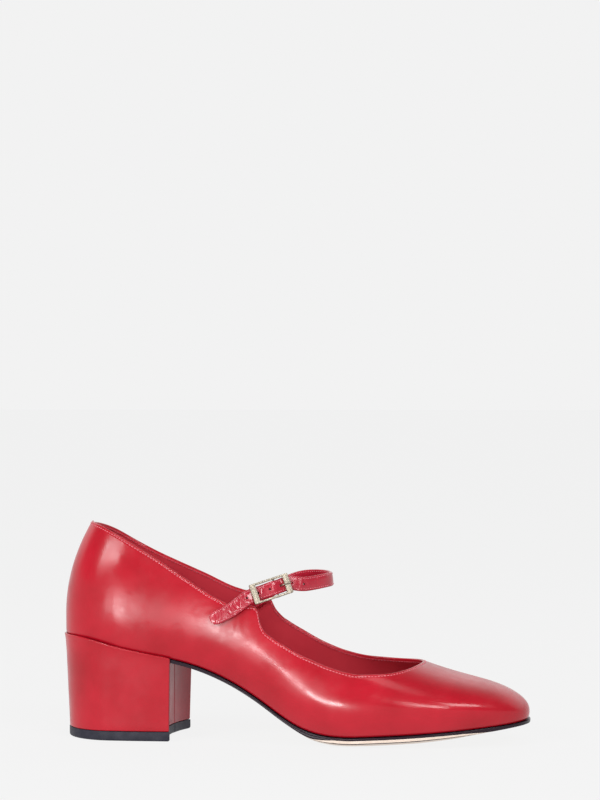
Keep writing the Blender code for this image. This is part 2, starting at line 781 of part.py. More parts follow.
def wall_point(x, z, side, lift):
    """Point on the last's side, pushed out along its normal by lift."""
    step = 1e-4
    y = half_width(x, z, side)
    slope_x = (half_width(x + step, z, side) - y) / step
    slope_z = (half_width(x, z + step, side) - y) / step
    normal = np.array([-slope_x, 1.0, -slope_z])
    normal /= np.linalg.norm(normal)
    return np.array([x + normal[0] * lift, side * (y + normal[1] * lift), z + normal[2] * lift])


def wall_lean(x, side):
    """How fast the wall closes in with height, half a strap below the topline."""
    step = STRAP_WIDTH / 4
    z = topline(x, side) - STRAP_WIDTH / 2
    return float(half_width(x, z - step, side) - half_width(x, z + step, side)) / (2 * step)


def strap_place(reach, across, rise):
    """Place in the strap's own shares, measured from the lateral ear."""
    x = EAR * LENGTH
    top = float(topline(x, -1))
    return np.array([x + STRAP_REACH * reach, across * float(half_width(x, top, -1)),
                     top + STRAP_RISE * rise])


class StrapPath:
    """The strap's middle line: its tip on the quarter, the buckle, the arch and its hidden root."""

    def __init__(self):
        rear, front = strap_place(*BUCKLE_REAR), strap_place(*BUCKLE_FRONT)
        self.middle = (rear + front) / 2
        self.along = (front - rear) / np.linalg.norm(front - rear)
        straight = [self.middle + self.along * BUCKLE_LENGTH * s for s in (-0.48, -0.24, 0, 0.24, 0.48)]
        on_wall = 2 * FIT_GAP + STRAP_THICKNESS / 2
        top = float(topline(EAR * LENGTH, -1))
        tip = [wall_point(at * LENGTH, top - STRAP_RISE * drop, -1, on_wall + TAB_THICKNESS)
               for at, drop in TIP_ROWS]
        arch = [strap_place(*row) for row in STRAP_ROWS]
        root = [wall_point(at * LENGTH, top - STRAP_RISE * drop, 1, -UPPER_WALL - on_wall - FIT_GAP)
                for at, drop in ROOT_ROWS]
        points = np.array(tip + straight + arch + root)
        run = np.concatenate([[0], np.cumsum(np.linalg.norm(np.diff(points, axis=0), axis=1))])
        self.curves = [flowing(run, points[:, axis]) for axis in range(3)]
        self.length = run[-1]
        self.buckle_at = run[len(tip) + 2]

    def place(self, s):
        return np.array([float(curve(s)) for curve in self.curves])

    def axes(self, s):
        """Direction along the strap, across it and out of its outer face."""
        step = 2e-4
        along = self.place(min(s + step, self.length)) - self.place(max(s - step, 0))
        along /= np.linalg.norm(along)
        x, y, _ = self.place(s)
        lean = wall_lean(min(x, EAR * LENGTH), math.copysign(1, y))
        share = np.clip(y / (ARCH_SPREAD * BALL_WIDTH), -1, 1)
        up = np.array([-ARCH_TILT * (1 - share ** 2), -lean * share, 1.0])
        across = up - np.dot(up, along) * along
        across /= np.linalg.norm(across)
        return along, across, np.cross(along, across)

    def buckle_matrix(self):
        """Places buckle axes in the world: X along the strap, Y across it, Z out of it."""
        along, across, out = self.axes(self.buckle_at)
        rows = Matrix((Vector(along), Vector(across), Vector(out))).transposed().to_4x4()
        return Matrix.Translation(Vector(self.place(self.buckle_at))) @ rows


def strap_bulge(s):
    """How far the strap rises between the buckle's end bars, over its centre bar."""
    half = 0.5 * BUCKLE_LENGTH - BUCKLE_BAR - BULGE_CENTRE
    t = np.clip(abs(s - BULGE_CENTRE) / half, 0, 1)
    return (STRAP_THICKNESS + FIT_GAP) * math.cos(t * math.pi / 2) ** 2


def band_mesh(name, places, frames, widths, thickness):
    """Flat band through places, with chamfered edges."""
    vertices = []
    edge = 0.22 * thickness
    for place, (_, across, out), width in zip(places, frames, widths):
        half, deep = width / 2, thickness / 2
        corners = ((-half, -deep + edge), (-half, deep - edge), (-half + edge, deep),
                   (half - edge, deep), (half, deep - edge), (half, -deep + edge),
                   (half - edge, -deep), (-half + edge, -deep))
        vertices += [place + across * a + out * b for a, b in corners]
    faces = [tuple(range(7, -1, -1)), tuple(range(len(vertices) - 8, len(vertices)))]
    for row in range(len(places) - 1):
        for k in range(8):
            a, b = row * 8 + k, row * 8 + (k + 1) % 8
            faces.append((a, b, b + 8, a + 8))
    return mesh_from(name, vertices, faces)


def hole_cutters(collection, path):
    """One object of round punches for the strap's holes, on either side of the prong's own hole."""
    work = bmesh.new()
    for k in (-2, -1, 0, 1, 2):
        offset = PRONG_HOLE + HOLE_PITCH * k
        s = path.buckle_at + offset
        along, across, out = path.axes(s)
        place = path.place(s) + out * strap_bulge(offset)
        turn = Matrix((Vector(along), Vector(across), Vector(out))).transposed().to_4x4()
        radius = USED_HOLE_RADIUS if k == 0 else HOLE_RADIUS
        bmesh.ops.create_cone(work, cap_ends=True, segments=14, radius1=radius, radius2=radius,
                              depth=3 * STRAP_THICKNESS,
                              matrix=Matrix.Translation(Vector(place)) @ turn)
    data = bpy.data.meshes.new("strap_holes")
    work.to_mesh(data)
    work.free()
    cutter = new_object("strap_holes", data, collection)
    hide_cutter(cutter)
    return cutter


def build_strap(collection, leather, path, holes):
    """One strap from inside the medial ear, through the buckle, to its rounded tip."""
    count = int(path.length / STRAP_STEP)
    tip_round = STRAP_WIDTH / 2
    near_tip = [tip_round * (1 - math.cos(math.radians(a))) for a in (14, 32, 50, 68, 84)]
    stops = near_tip + [s for s in np.linspace(0, path.length, count) if s > tip_round * 1.1]
    places, frames, widths = [], [], []
    for s in stops:
        frame = path.axes(s)
        places.append(path.place(s) + frame[2] * strap_bulge(s - path.buckle_at))
        frames.append(frame)
        short = max(0.0, 1 - s / tip_round)
        widths.append(STRAP_WIDTH * math.sqrt(1 - short ** 2))
    data = band_mesh("strap", places, frames, widths, STRAP_THICKNESS)
    strap = new_object("strap", data, collection, leather)
    cut(strap, holes, "holes")
    soften(strap, 40)
    return strap


def buckle_levels():
    """Heights over the strap's middle line: frame underside, frame top, centre bar's axis."""
    under = STRAP_THICKNESS / 2 + FIT_GAP
    hinge = strap_bulge(HINGE_AHEAD) - TAB_DROP - TAB_SWING
    return under, under + BUCKLE_DEPTH, hinge


def box_into(work, low, high):
    """Adds a box between two corners."""
    low, high = Vector(low), Vector(high)
    size = Matrix.Diagonal((*(high - low), 1.0))
    bmesh.ops.create_cube(work, size=1.0, matrix=Matrix.Translation((low + high) / 2) @ size)


def single(name, low, high, collection):
    """A box object on its own, for joining."""
    work = bmesh.new()
    box_into(work, low, high)
    data = bpy.data.meshes.new(name)
    work.to_mesh(data)
    work.free()
    return new_object(name, data, collection)


def build_buckle(collection, cutters, gold, path):
    """Rectangular frame with broad ends, thin rails and a centre bar slung under the strap."""
    under, over, hinge = buckle_levels()
    length, width = BUCKLE_LENGTH / 2, BUCKLE_WIDTH / 2
    window = single("buckle_window", (-length + BUCKLE_BAR, -width + BUCKLE_RAIL, under - 0.001),
                    (length - BUCKLE_BAR, width - BUCKLE_RAIL, over + 0.001), cutters)
    frame = single("buckle_frame", (-length, -width, under), (length, width, over), collection)
    frame.data.materials.append(gold)
    cut(frame, window, "window")
    inner, outer = width - BUCKLE_RAIL, width - BUCKLE_RAIL / 8
    lug = HINGE_LUG / 2
    for side in (-1, 1):
        low = (HINGE_AHEAD - lug, min(side * inner, side * outer), hinge - HINGE_RADIUS)
        high = (HINGE_AHEAD + lug, max(side * inner, side * outer), under + BUCKLE_DEPTH / 3)
        arm = single("buckle_lug", low, high, cutters)
        join(frame, arm, "lug")
    work = bmesh.new()
    turn = Matrix.Rotation(math.pi / 2, 4, "X")
    bmesh.ops.create_cone(work, cap_ends=True, segments=16, radius1=HINGE_RADIUS,
                          radius2=HINGE_RADIUS, depth=2 * width - BUCKLE_RAIL,
                          matrix=Matrix.Translation((HINGE_AHEAD, 0, hinge)) @ turn)
    data = bpy.data.meshes.new("buckle_hinge")
    work.to_mesh(data)
    work.free()
    bar = new_object("buckle_hinge", data, cutters)
    join(frame, bar, "hinge")
    for obj in (window, bar):
        hide_cutter(obj)
    edges = frame.modifiers.new("edges", "BEVEL")
    edges.width = BUCKLE_BEVEL
    edges.segments = 1
    edges.limit_method = "ANGLE"
    edges.angle_limit = math.radians(50)
    matrix = path.buckle_matrix()
    frame.matrix_world = matrix
    for obj in cutters.objects:
        if obj.name.startswith("buckle_"):
            obj.matrix_world = matrix
    soften(frame, 40)
    return frame


def join(obj, other, name):
    """Exact union that stays on the object."""
    hide_cutter(other)
    modifier = obj.modifiers.new(name, "BOOLEAN")
    modifier.operation = "UNION"
    modifier.solver = "EXACT"
    modifier.object = other


def rod_mesh(name, points, radius, sides):
    """Round rod along points in the buckle's upright middle plane, with capped ends."""
    curve = bpy.data.curves.new(name, "CURVE")
    curve.dimensions = "3D"
    spline = curve.splines.new("POLY")
    spline.points.add(len(points) - 1)
    for point, (x, z) in zip(spline.points, points):
        point.co = (x, 0, z, 1)
    curve.bevel_depth = radius
    curve.bevel_resolution = sides
    curve.use_fill_caps = True
    holder = bpy.data.objects.new(name + "_curve", curve)
    bpy.context.scene.collection.objects.link(holder)
    bpy.context.view_layer.update()
    evaluated = holder.evaluated_get(bpy.context.evaluated_depsgraph_get())
    data = bpy.data.meshes.new_from_object(evaluated)
    bpy.data.objects.remove(holder)
    bpy.data.curves.remove(curve)
    work = bmesh.new()
    work.from_mesh(data)
    bmesh.ops.remove_doubles(work, verts=work.verts, dist=1e-6)
    bmesh.ops.recalc_face_normals(work, faces=work.faces)
    work.to_mesh(data)
    work.free()
    return data


def build_prong(collection, gold, path):
    """Hooked round the centre bar, up through the strap's hole and onto the front bar."""
    _, over, hinge = buckle_levels()
    swing = HINGE_RADIUS + FIT_GAP + PRONG_RADIUS
    hook = [(HINGE_AHEAD + swing * math.cos(math.radians(a)),
             hinge + swing * math.sin(math.radians(a))) for a in range(200, 341, 20)]
    rest = over + FIT_GAP + PRONG_RADIUS
    low = hook[-1][1]
    slack = USED_HOLE_RADIUS - PRONG_RADIUS
    rise = [(PRONG_HOLE + slack * ahead, low + (rest - low) * share) for ahead, share in PRONG_ROWS]
    bar = BUCKLE_LENGTH / 2 - BUCKLE_BAR / 2
    tip = [(bar, rest), (bar + 0.62 * BUCKLE_BAR, rest - PRONG_RADIUS / 4)]
    data = rod_mesh("prong", hook + rise + tip, PRONG_RADIUS, 2)
    prong = new_object("prong", data, collection, gold)
    prong.matrix_world = path.buckle_matrix()
    soften(prong, 50)
    return prong


def build_tab(collection, cutters, leather, path):
    """Short leather tab from the lateral ear, hooked over the buckle's centre bar."""
    _, _, hinge = buckle_levels()
    places, frames = [], []
    for s in np.linspace(TAB_START, path.buckle_at + HINGE_AHEAD, 24):
        frame = path.axes(s)
        places.append(path.place(s) + frame[2] * (strap_bulge(s - path.buckle_at) - TAB_DROP))
        frames.append(frame)
    along, across, out = path.axes(path.buckle_at)
    middle = path.place(path.buckle_at) + along * HINGE_AHEAD + out * hinge
    for a in range(70, -91, -20):
        angle = math.radians(a)
        radial = along * math.cos(angle) + out * math.sin(angle)
        places.append(middle + radial * TAB_SWING)
        frames.append((out, across, radial))
    for back in (TAB_SWING, 2 * TAB_SWING):
        places.append(middle - out * TAB_SWING - along * back)
        frames.append((-along, across, -out))
    data = band_mesh("buckle_tab", places, frames, [TAB_WIDTH] * len(places), TAB_THICKNESS)
    tab = new_object("buckle_tab", data, collection, leather)
    slot_half = PRONG_RADIUS + FIT_GAP
    reach = 2 * TAB_SWING
    slot = single("buckle_slot", (HINGE_AHEAD - 0.75 * reach, -slot_half, hinge - reach),
                  (HINGE_AHEAD + reach, slot_half, hinge + reach), cutters)
    slot.matrix_world = path.buckle_matrix()
    hide_cutter(slot)
    cut(tab, slot, "slot")
    soften(tab, 40)
    return tab


# Assembly

def clear_scene():
    for obj in list(bpy.data.objects):
        bpy.data.objects.remove(obj)


def stand_on_origin(objects):
    """Parents the pieces to an empty that brings the middle of their footprint to the origin."""
    bpy.context.view_layer.update()
    graph = bpy.context.evaluated_depsgraph_get()
    corners = []
    for obj in objects:
        evaluated = obj.evaluated_get(graph)
        corners += [evaluated.matrix_world @ Vector(corner) for corner in evaluated.bound_box]
    low = Vector([min(c[k] for c in corners) for k in range(3)])
    high = Vector([max(c[k] for c in corners) for k in range(3)])
    anchor = bpy.data.objects.new("shoe_origin", None)
    bpy.context.scene.collection.objects.link(anchor)
    for obj in objects + list(bpy.data.collections[NAME + "_cutters"].objects):
        obj.parent = anchor
    anchor.location = (-(low.x + high.x) / 2, -(low.y + high.y) / 2, -low.z)
    bpy.context.view_layer.update()


def main():
    clear_scene()
    pieces = bpy.data.collections.new(NAME)
    cutters = bpy.data.collections.new(NAME + "_cutters")
    bpy.context.scene.collection.children.link(pieces)
    bpy.context.scene.collection.children.link(cutters)

    leather = material("red_leather", RED, 0.38)
    lining = material("red_lining", LINING_RED, 0.6)
    sole_leather = material("sole_leather", BEIGE, 0.5)
    rubber = material("top_piece_rubber", CHARCOAL, 0.55)
    gold = material("pale_gold", GOLD, 0.25, 1.0)

    breast = breast_cutter(cutters)
    seat = seat_cutter(cutters)
    path = StrapPath()
    holes = hole_cutters(cutters, path)

    objects = [
        build_upper(pieces, leather),
        build_insole(pieces, lining),
        build_outsole(pieces, sole_leather),
        build_heel(pieces, leather, breast, seat),
        build_top_piece(pieces, rubber, breast),
        build_strap(pieces, leather, path, holes),
        build_buckle(pieces, cutters, gold, path),
        build_prong(pieces, gold, path),
        build_tab(pieces, cutters, leather, path),
    ]
    stand_on_origin(objects)


main()
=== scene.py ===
"""Looks of the mary jane shoe: leather, thread, sole edge, lining, buckle, light and camera.

The last and the strap are worked out here as the part's source does, in metres, with X from the back of
the heel. Every piece is then shifted into the row frame.
"""
import math

import bmesh
import bpy
import numpy as np
from mathutils import Matrix, Vector


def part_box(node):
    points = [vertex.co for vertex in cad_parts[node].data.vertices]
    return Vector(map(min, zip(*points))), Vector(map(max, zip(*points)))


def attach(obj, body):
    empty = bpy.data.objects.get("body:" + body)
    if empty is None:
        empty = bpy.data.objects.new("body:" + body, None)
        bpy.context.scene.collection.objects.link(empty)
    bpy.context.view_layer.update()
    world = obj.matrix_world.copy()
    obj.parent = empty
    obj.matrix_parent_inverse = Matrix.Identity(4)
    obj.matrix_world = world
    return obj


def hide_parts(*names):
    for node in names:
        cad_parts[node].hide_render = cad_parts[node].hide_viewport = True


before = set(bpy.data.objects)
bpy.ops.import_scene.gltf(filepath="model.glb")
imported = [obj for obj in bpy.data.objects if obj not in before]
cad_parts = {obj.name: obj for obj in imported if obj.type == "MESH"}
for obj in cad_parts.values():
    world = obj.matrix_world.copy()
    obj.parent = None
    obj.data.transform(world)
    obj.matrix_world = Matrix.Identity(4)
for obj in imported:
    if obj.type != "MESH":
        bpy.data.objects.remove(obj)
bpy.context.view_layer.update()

SHIFT = np.array([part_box("upper")[0][0], 0.0, 0.0])

# Sizes of the last
LENGTH = 0.2417           # back of the counter to the tip of the toe
BALL_WIDTH = 0.080        # across the upper at the ball
HEEL_HEIGHT = 0.0525      # feather edge at the back, above the floor
BALL_EDGE = 0.0053        # feather edge at the ball, above the floor
TOE_SPRING = 0.0070       # rise of the feather edge from the ball to the toe
INSTEP_HEIGHT = 0.060     # ridge of the last above the feather edge, behind the ball
FULL_HEIGHT = 0.0135      # widest level above the feather edge, at the ball
QUARTER_HEIGHT = 0.058    # topline above the feather edge, at the back
HEEL_LEAN = 0.0129        # how far the collar leans forward over the counter
LEAN_START = 0.2          # share of the quarter's height where that lean begins
LEAN_SPREAD = 0.7         # share of the lean that reaches the widest part of the counter
TOE_TUCK = 0.0012         # how far the feather edge lies behind the tip of the toe

# Walls, layers and clearances
FIT_GAP = 0.0003          # between pieces that touch
UPPER_WALL = 0.0018
TURN_RADIUS = 0.0026      # of the upper's turn under the foot
TURN_INWARD = 0.8         # share of that radius by which the turn runs in under the foot
LASTING_MARGIN = 0.0028   # flat margin of the upper under the insole
INSOLE_THICKNESS = 0.0011
BED_DISH = 0.0015         # dip of the foot bed along its middle, at the ball
SOLE_EDGE = 0.0029        # height of the outsole's edge, at the ball
SOLE_CROWN = 0.0036       # how far the outsole's middle hangs below its edge, at the ball

# Heel block and top piece
HEEL_LENGTH = 0.0598      # back of the counter to the lateral corner of the breast
HEEL_LEDGE = 0.0008       # how far the heel cover stands out from the upper
HEEL_RIM = 0.0007         # how far the heel cover laps up over the upper
BACK_TAPER = 0.0029
SIDE_TAPER = 0.0022
BREAST_HOLLOW = 0.0052    # depth of the hollow in the breast
BREAST_SPREAD = 0.0256    # half width over which the hollow reaches that depth
BREAST_SKEW = 0.0020      # how far the hollow's centre lies to the lateral side
TOP_PIECE_HEIGHT = 0.0050
TOP_PIECE_PROUD = 0.0002
TOP_PIECE_ROUND = 0.0011  # radius of its lower edge

# Strap
STRAP_WIDTH = 0.0072
STRAP_THICKNESS = 0.0014
STRAP_REACH = 0.0400      # ears to the front of the strap's arch
STRAP_RISE = 0.0110       # ears to the height of the strap's arch
ARCH_TILT = 0.12          # how far the strap's face tips back over the arch
ARCH_SPREAD = 0.2         # share of the ball's width on each side of the axis that tips so
HOLE_PITCH = 0.0062
HOLE_RADIUS = 0.0005
USED_HOLE_RADIUS = 0.0009

# Buckle and its tab
BUCKLE_LENGTH = 0.0210
BUCKLE_WIDTH = 0.0105
BUCKLE_BAR = 0.0031       # width of the two end bars
BUCKLE_RAIL = 0.0011      # width of the two long rails
BUCKLE_DEPTH = 0.0013
BULGE_CENTRE = 0.0012     # top of the strap's rise, ahead of the buckle's middle
HINGE_AHEAD = 0.0031      # centre bar ahead of the buckle's middle
HINGE_RADIUS = 0.00045
HINGE_LUG = 0.0012        # width of the two lugs that hold the centre bar
PRONG_HOLE = 0.0055       # hole in use ahead of the buckle's middle
PRONG_RADIUS = 0.00035
TAB_THICKNESS = 0.0006
TAB_DROP = STRAP_THICKNESS / 2 + FIT_GAP + TAB_THICKNESS / 2
TAB_SWING = HINGE_RADIUS + FIT_GAP + TAB_THICKNESS / 2

# Places along the last, as shares of its length
HEEL_CENTRE = 0.12
TOE_CENTRE = 0.68
TOE_FAN = 0.6             # how much closer the ribs lie at the tip of the toe than at its sides
EAR = 0.412
THROAT_TIP = 0.7736
THROAT_EASE = 0.19         # how fast the throat's sides close in where its round begins
NOSE_PLAN = 0.80
NOSE_RIDGE = 0.90
SPRING_START = 0.635      # where the feather edge starts to rise to the toe

# Roundness: powers of the superellipses that close the last, and of the toe's rise
TOE_POWER = 2.3
COUNTER_POWER = 2.1
RIDGE_POWER = 2.5
SPRING_POWER = 1.3

# Stations of the last. Widths and tucks are shares of half the ball's width, drop is a share of the
# feather edge's fall from heel to ball, full of FULL_HEIGHT and ridge of INSTEP_HEIGHT.
LAST_COLUMNS = ("at", "lateral", "medial", "tuck_lateral", "tuck_medial", "drop", "full", "ridge")
LAST_ROWS = (
    (0.00, 0.700, 0.700, 0.020, 0.020, 1.000, 0.96, 1.283),
    (0.06, 0.720, 0.720, 0.025, 0.025, 0.988, 0.96, 1.293),
    (0.12, 0.730, 0.720, 0.030, 0.030, 0.916, 1.00, 1.350),
    (0.20, 0.725, 0.705, 0.045, 0.055, 0.827, 1.10, 1.372),
    (0.28, 0.715, 0.685, 0.070, 0.105, 0.742, 1.25, 1.322),
    (0.36, 0.735, 0.680, 0.100, 0.165, 0.592, 1.38, 1.250),
    (0.44, 0.800, 0.715, 0.115, 0.200, 0.362, 1.38, 1.208),
    (0.52, 0.900, 0.800, 0.120, 0.190, 0.105, 1.25, 1.147),
    (0.58, 0.960, 0.885, 0.115, 0.150, 0.012, 1.11, 1.000),
    (0.66, 1.000, 0.975, 0.105, 0.110, 0.000, 1.00, 0.772),
    (0.74, 0.975, 1.000, 0.095, 0.090, 0.000, 0.93, 0.613),
    (0.82, 0.900, 0.965, 0.080, 0.075, 0.000, 0.81, 0.477),
    (0.90, 0.800, 0.905, 0.060, 0.060, 0.000, 0.63, 0.364),
    (1.00, 0.700, 0.830, 0.040, 0.040, 0.000, 0.25, 0.220),
)

# Topline behind the throat, above the feather edge, as shares of QUARTER_HEIGHT
TOPLINE_COLUMNS = ("at", "lateral", "medial")
TOPLINE_ROWS = (
    (0.040, 1.030, 1.030),
    (0.080, 1.024, 0.978),
    (0.120, 1.000, 0.918),
    (0.200, 0.890, 0.818),
    (0.280, 0.750, 0.743),
    (0.340, 0.680, 0.712),
    (0.370, 0.675, 0.728),
    (0.392, 0.715, 0.768),
    (0.415, 0.762, 0.808),
    (0.430, 0.790, 0.790),
    (0.436, 0.784, 0.752),
    (0.440, 0.730, 0.728),
    (0.443, 0.688, 0.717),
    (0.450, 0.652, 0.703),
    (0.460, 0.638, 0.692),
    (0.475, 0.638, 0.693),
    (0.503, 0.647, 0.697),
    (0.548, 0.640, 0.676),
    (0.590, 0.606, 0.640),
    (0.629, 0.567, 0.606),
    (0.655, 0.546, 0.589),
    (0.680, 0.541, 0.578),
)

# The outsole: share of SOLE_CROWN by which it hangs below its edge, and share of SOLE_EDGE
SOLE_COLUMNS = ("at", "crown", "edge")
SOLE_ROWS = (
    (0.20, 0.23, 0.55),
    (0.36, 0.26, 0.55),
    (0.44, 0.33, 0.55),
    (0.50, 0.60, 0.60),
    (0.56, 1.00, 0.94),
    (0.62, 1.00, 1.00),
    (0.76, 1.00, 1.00),
    (0.84, 1.00, 0.88),
    (0.90, 0.78, 0.70),
    (0.96, 0.44, 0.53),
    (1.00, 0.22, 0.46),
)

# Narrowing of the heel below its rim: share of its height, share of its taper
HEEL_RINGS = ((0.0, 0.0), (0.07, 0.18), (0.20, 0.34), (0.60, 0.67), (1.0, 1.0))

# The strap's two ends on the quarters: share of LENGTH and of STRAP_RISE below the lateral ear
TIP_ROWS = ((0.339, 0.710), (0.360, 0.500), (0.384, 0.230))
ROOT_ROWS = ((0.405, 0.040), (0.385, 0.270))

# Free stretch of the strap: shares of STRAP_REACH, of the lateral ear's half width and of STRAP_RISE
STRAP_ROWS = (
    (0.640, -0.645, 0.940),
    (0.790, -0.465, 0.945),
    (0.940, -0.220, 1.030),
    (1.000, 0.030, 1.065),
    (0.955, 0.250, 1.090),
    (0.840, 0.440, 1.100),
    (0.675, 0.600, 1.070),
    (0.490, 0.700, 0.940),
    (0.300, 0.742, 0.660),
    (0.125, 0.750, 0.340),
)

# Rise of the prong through its hole: share of the hole's slack, and of the height it climbs
PRONG_ROWS = ((-1.25, 0.12), (-0.45, 0.27), (-0.05, 0.44), (0.20, 0.61), (0.75, 0.78), (1.65, 0.92),
              (3.00, 1.00))

# Ends of the buckle's centre line, in the same shares as the strap
BUCKLE_REAR = (0.063, -1.030, 0.430)
BUCKLE_FRONT = (0.543, -0.700, 1.012)


# The last and the strap, as the part's source works them out

def hermite(xs, ys, slopes):
    """Cubic curve with the given slope at each point."""
    def value(x):
        x = np.clip(x, xs[0], xs[-1])
        i = np.clip(np.searchsorted(xs, x, side="right") - 1, 0, len(xs) - 2)
        step = xs[i + 1] - xs[i]
        t = (x - xs[i]) / step
        rise = t * t * (3 - 2 * t)
        lead = t * (1 - t) ** 2 * slopes[i]
        trail = t * t * (t - 1) * slopes[i + 1]
        return ys[i] + (ys[i + 1] - ys[i]) * rise + step * (lead + trail)
    return value


def flowing(xs, ys):
    """Natural cubic spline: curvature runs on through every point."""
    steps = np.diff(xs)
    grades = np.diff(ys) / steps
    count = len(xs)
    matrix = np.zeros((count, count))
    right = np.zeros(count)
    matrix[0, :2] = (2, 1)
    right[0] = 3 * grades[0]
    matrix[-1, -2:] = (1, 2)
    right[-1] = 3 * grades[-1]
    for k in range(1, count - 1):
        matrix[k, k - 1:k + 2] = (steps[k], 2 * (steps[k - 1] + steps[k]), steps[k - 1])
        right[k] = 3 * (steps[k] * grades[k - 1] + steps[k - 1] * grades[k])
    return hermite(xs, ys, np.linalg.solve(matrix, right))


def steady(xs, ys):
    """Curve that never swings past its points."""
    grades = np.diff(ys) / np.diff(xs)
    slopes = np.zeros(len(xs))
    for k in range(1, len(xs) - 1):
        if grades[k - 1] * grades[k] > 0:
            slopes[k] = 2 * grades[k - 1] * grades[k] / (grades[k - 1] + grades[k])
    slopes[0], slopes[-1] = grades[0], grades[-1]
    return hermite(xs, ys, slopes)


def curves(kind, rows, columns):
    """One curve for each column of a table after the first, which holds the places."""
    table = np.array(rows)
    return [kind(table[:, 0], table[:, k]) for k in range(1, len(columns))]


WIDTH_LATERAL, WIDTH_MEDIAL, TUCK_LATERAL, TUCK_MEDIAL, DROP, FULL, RIDGE = curves(
    flowing, LAST_ROWS, LAST_COLUMNS)
TOP_LATERAL, TOP_MEDIAL = curves(steady, TOPLINE_ROWS, TOPLINE_COLUMNS)
CROWN, EDGE = curves(steady, SOLE_ROWS, SOLE_COLUMNS)


def nose(x, start, end, power):
    """Falls from 1 at start to 0 at end, round like a superellipse."""
    t = np.clip((x - start) / (end - start), 0, 1)
    return (1 - t ** power) ** (1 / power)


def feather(x):
    """Height of the feather edge, where the upper turns under the foot."""
    at = np.clip(x / LENGTH, 0, 1)
    spring = np.clip((at - SPRING_START) / (1 - SPRING_START), 0, 1) ** SPRING_POWER
    return BALL_EDGE + (HEEL_HEIGHT - BALL_EDGE) * DROP(at) + TOE_SPRING * spring


def slant(x):
    """Length along the feather edge for each unit of station."""
    step = 1e-4
    return np.sqrt(1 + ((feather(x + step) - feather(x - step)) / (2 * step)) ** 2)


def fullest(x):
    """Height of the last's widest level."""
    return feather(x) + FULL_HEIGHT * FULL(x / LENGTH)


def ridge(x):
    """Height of the last's ridge, a line that the collar cuts off behind the throat."""
    free = feather(x) + INSTEP_HEIGHT * RIDGE(x / LENGTH)
    wide = fullest(x)
    return wide + (free - wide) * nose(x, NOSE_RIDGE * LENGTH, LENGTH, RIDGE_POWER)


def full_width(x, side):
    """Half width at the widest level, before the ends close in."""
    at = x / LENGTH
    return 0.5 * BALL_WIDTH * np.where(side < 0, WIDTH_LATERAL(at), WIDTH_MEDIAL(at))


def collar_lean(z):
    """How far the back of the last leans forward at a height."""
    share = np.clip((z - HEEL_HEIGHT) / QUARTER_HEIGHT, 0, 1.2)
    return HEEL_LEAN * (np.clip(share - LEAN_START, 0, None) / (1 - LEAN_START)) ** 2


def half_width(x, z, side):
    """Distance from the axis to the last's surface."""
    at = x / LENGTH
    low, wide = feather(x), fullest(x)
    tuck = 0.5 * BALL_WIDTH * np.where(side < 0, TUCK_LATERAL(at), TUCK_MEDIAL(at))
    below = np.clip((wide - z) / (wide - low), 0, 1.2)
    above = np.clip((z - wide) / np.maximum(ridge(x) - wide, 1e-7), 0, 1)
    body = (full_width(x, side) - tuck * below ** 2) * np.sqrt(1 - above ** 2)
    lean = collar_lean(z)
    toe = nose(x, NOSE_PLAN * LENGTH, LENGTH - TOE_TUCK * below ** 2, TOE_POWER)
    heel = nose(-x, -HEEL_CENTRE * LENGTH - LEAN_SPREAD * lean, -lean, COUNTER_POWER)
    return body * toe * heel


def topline(x, side):
    """Height at which the upper is cut: a table to the throat, then a round throat in plan."""
    at = x / LENGTH
    share = np.where(side < 0, TOP_LATERAL(at), TOP_MEDIAL(at))
    behind = feather(x) + QUARTER_HEIGHT * share
    start = TOE_CENTRE * LENGTH
    edge = feather(start) + QUARTER_HEIGHT * np.where(side < 0, TOP_LATERAL(TOE_CENTRE),
                                                      TOP_MEDIAL(TOE_CENTRE))
    ahead = np.clip((x - start) / (THROAT_TIP * LENGTH - start), 0, 1)
    round_plan = nose(x, start, THROAT_TIP * LENGTH, 2.0) - THROAT_EASE * ahead * (1 - ahead) ** 2
    open_width = half_width(start, edge, side) * round_plan
    lying = np.clip(open_width / full_width(x, side), 0, 1)
    round_throat = fullest(x) + (ridge(x) - fullest(x)) * np.sqrt(1 - lying ** 2)
    height = np.where(x > start, round_throat, behind)
    return np.where(x > THROAT_TIP * LENGTH, 1.0, height)


def last_ribs(stations, toe_steps, heel_steps):
    """Rows of centre x, direction x and direction y, from the lateral side round the toe.

    Ribs lie across the last along its sides and fan out round its toe and heel."""
    rows = [(x, 0.0, -1.0) for x in stations]
    for k in range(1, toe_steps):
        turn = math.pi * (k / toe_steps - 0.5)
        angle = math.atan2(TOE_FAN * math.sin(turn), math.cos(turn))
        rows.append((TOE_CENTRE * LENGTH, math.cos(angle), math.sin(angle)))
    rows += [(x, 0.0, 1.0) for x in reversed(stations)]
    for k in range(1, heel_steps):
        angle = math.pi * (k / heel_steps + 0.5)
        rows.append((HEEL_CENTRE * LENGTH, math.cos(angle), math.sin(angle)))
    return np.array(rows)


def side_stations(start, end, count):
    """Evenly spaced places along the last, in metres, from shares of its length."""
    return [LENGTH * (start + (end - start) * k / (count - 1)) for k in range(count)]


def rib_reach(ribs, z):
    """Distance along each rib to the last's surface, for a row of heights for each rib."""
    centre, along, across = (ribs[:, k:k + 1] for k in range(3))
    near = np.zeros_like(z)
    far = np.full_like(z, LENGTH / 2)
    for _ in range(36):
        middle = (near + far) / 2
        inside = np.abs(middle * across) < half_width(centre + middle * along, z, across)
        near = np.where(inside, middle, near)
        far = np.where(inside, far, middle)
    return near


def rib_points(ribs, reach, z):
    """Points at a distance along each rib and a height."""
    return np.stack([ribs[:, 0:1] + reach * ribs[:, 1:2], reach * ribs[:, 2:3], z], axis=-1)


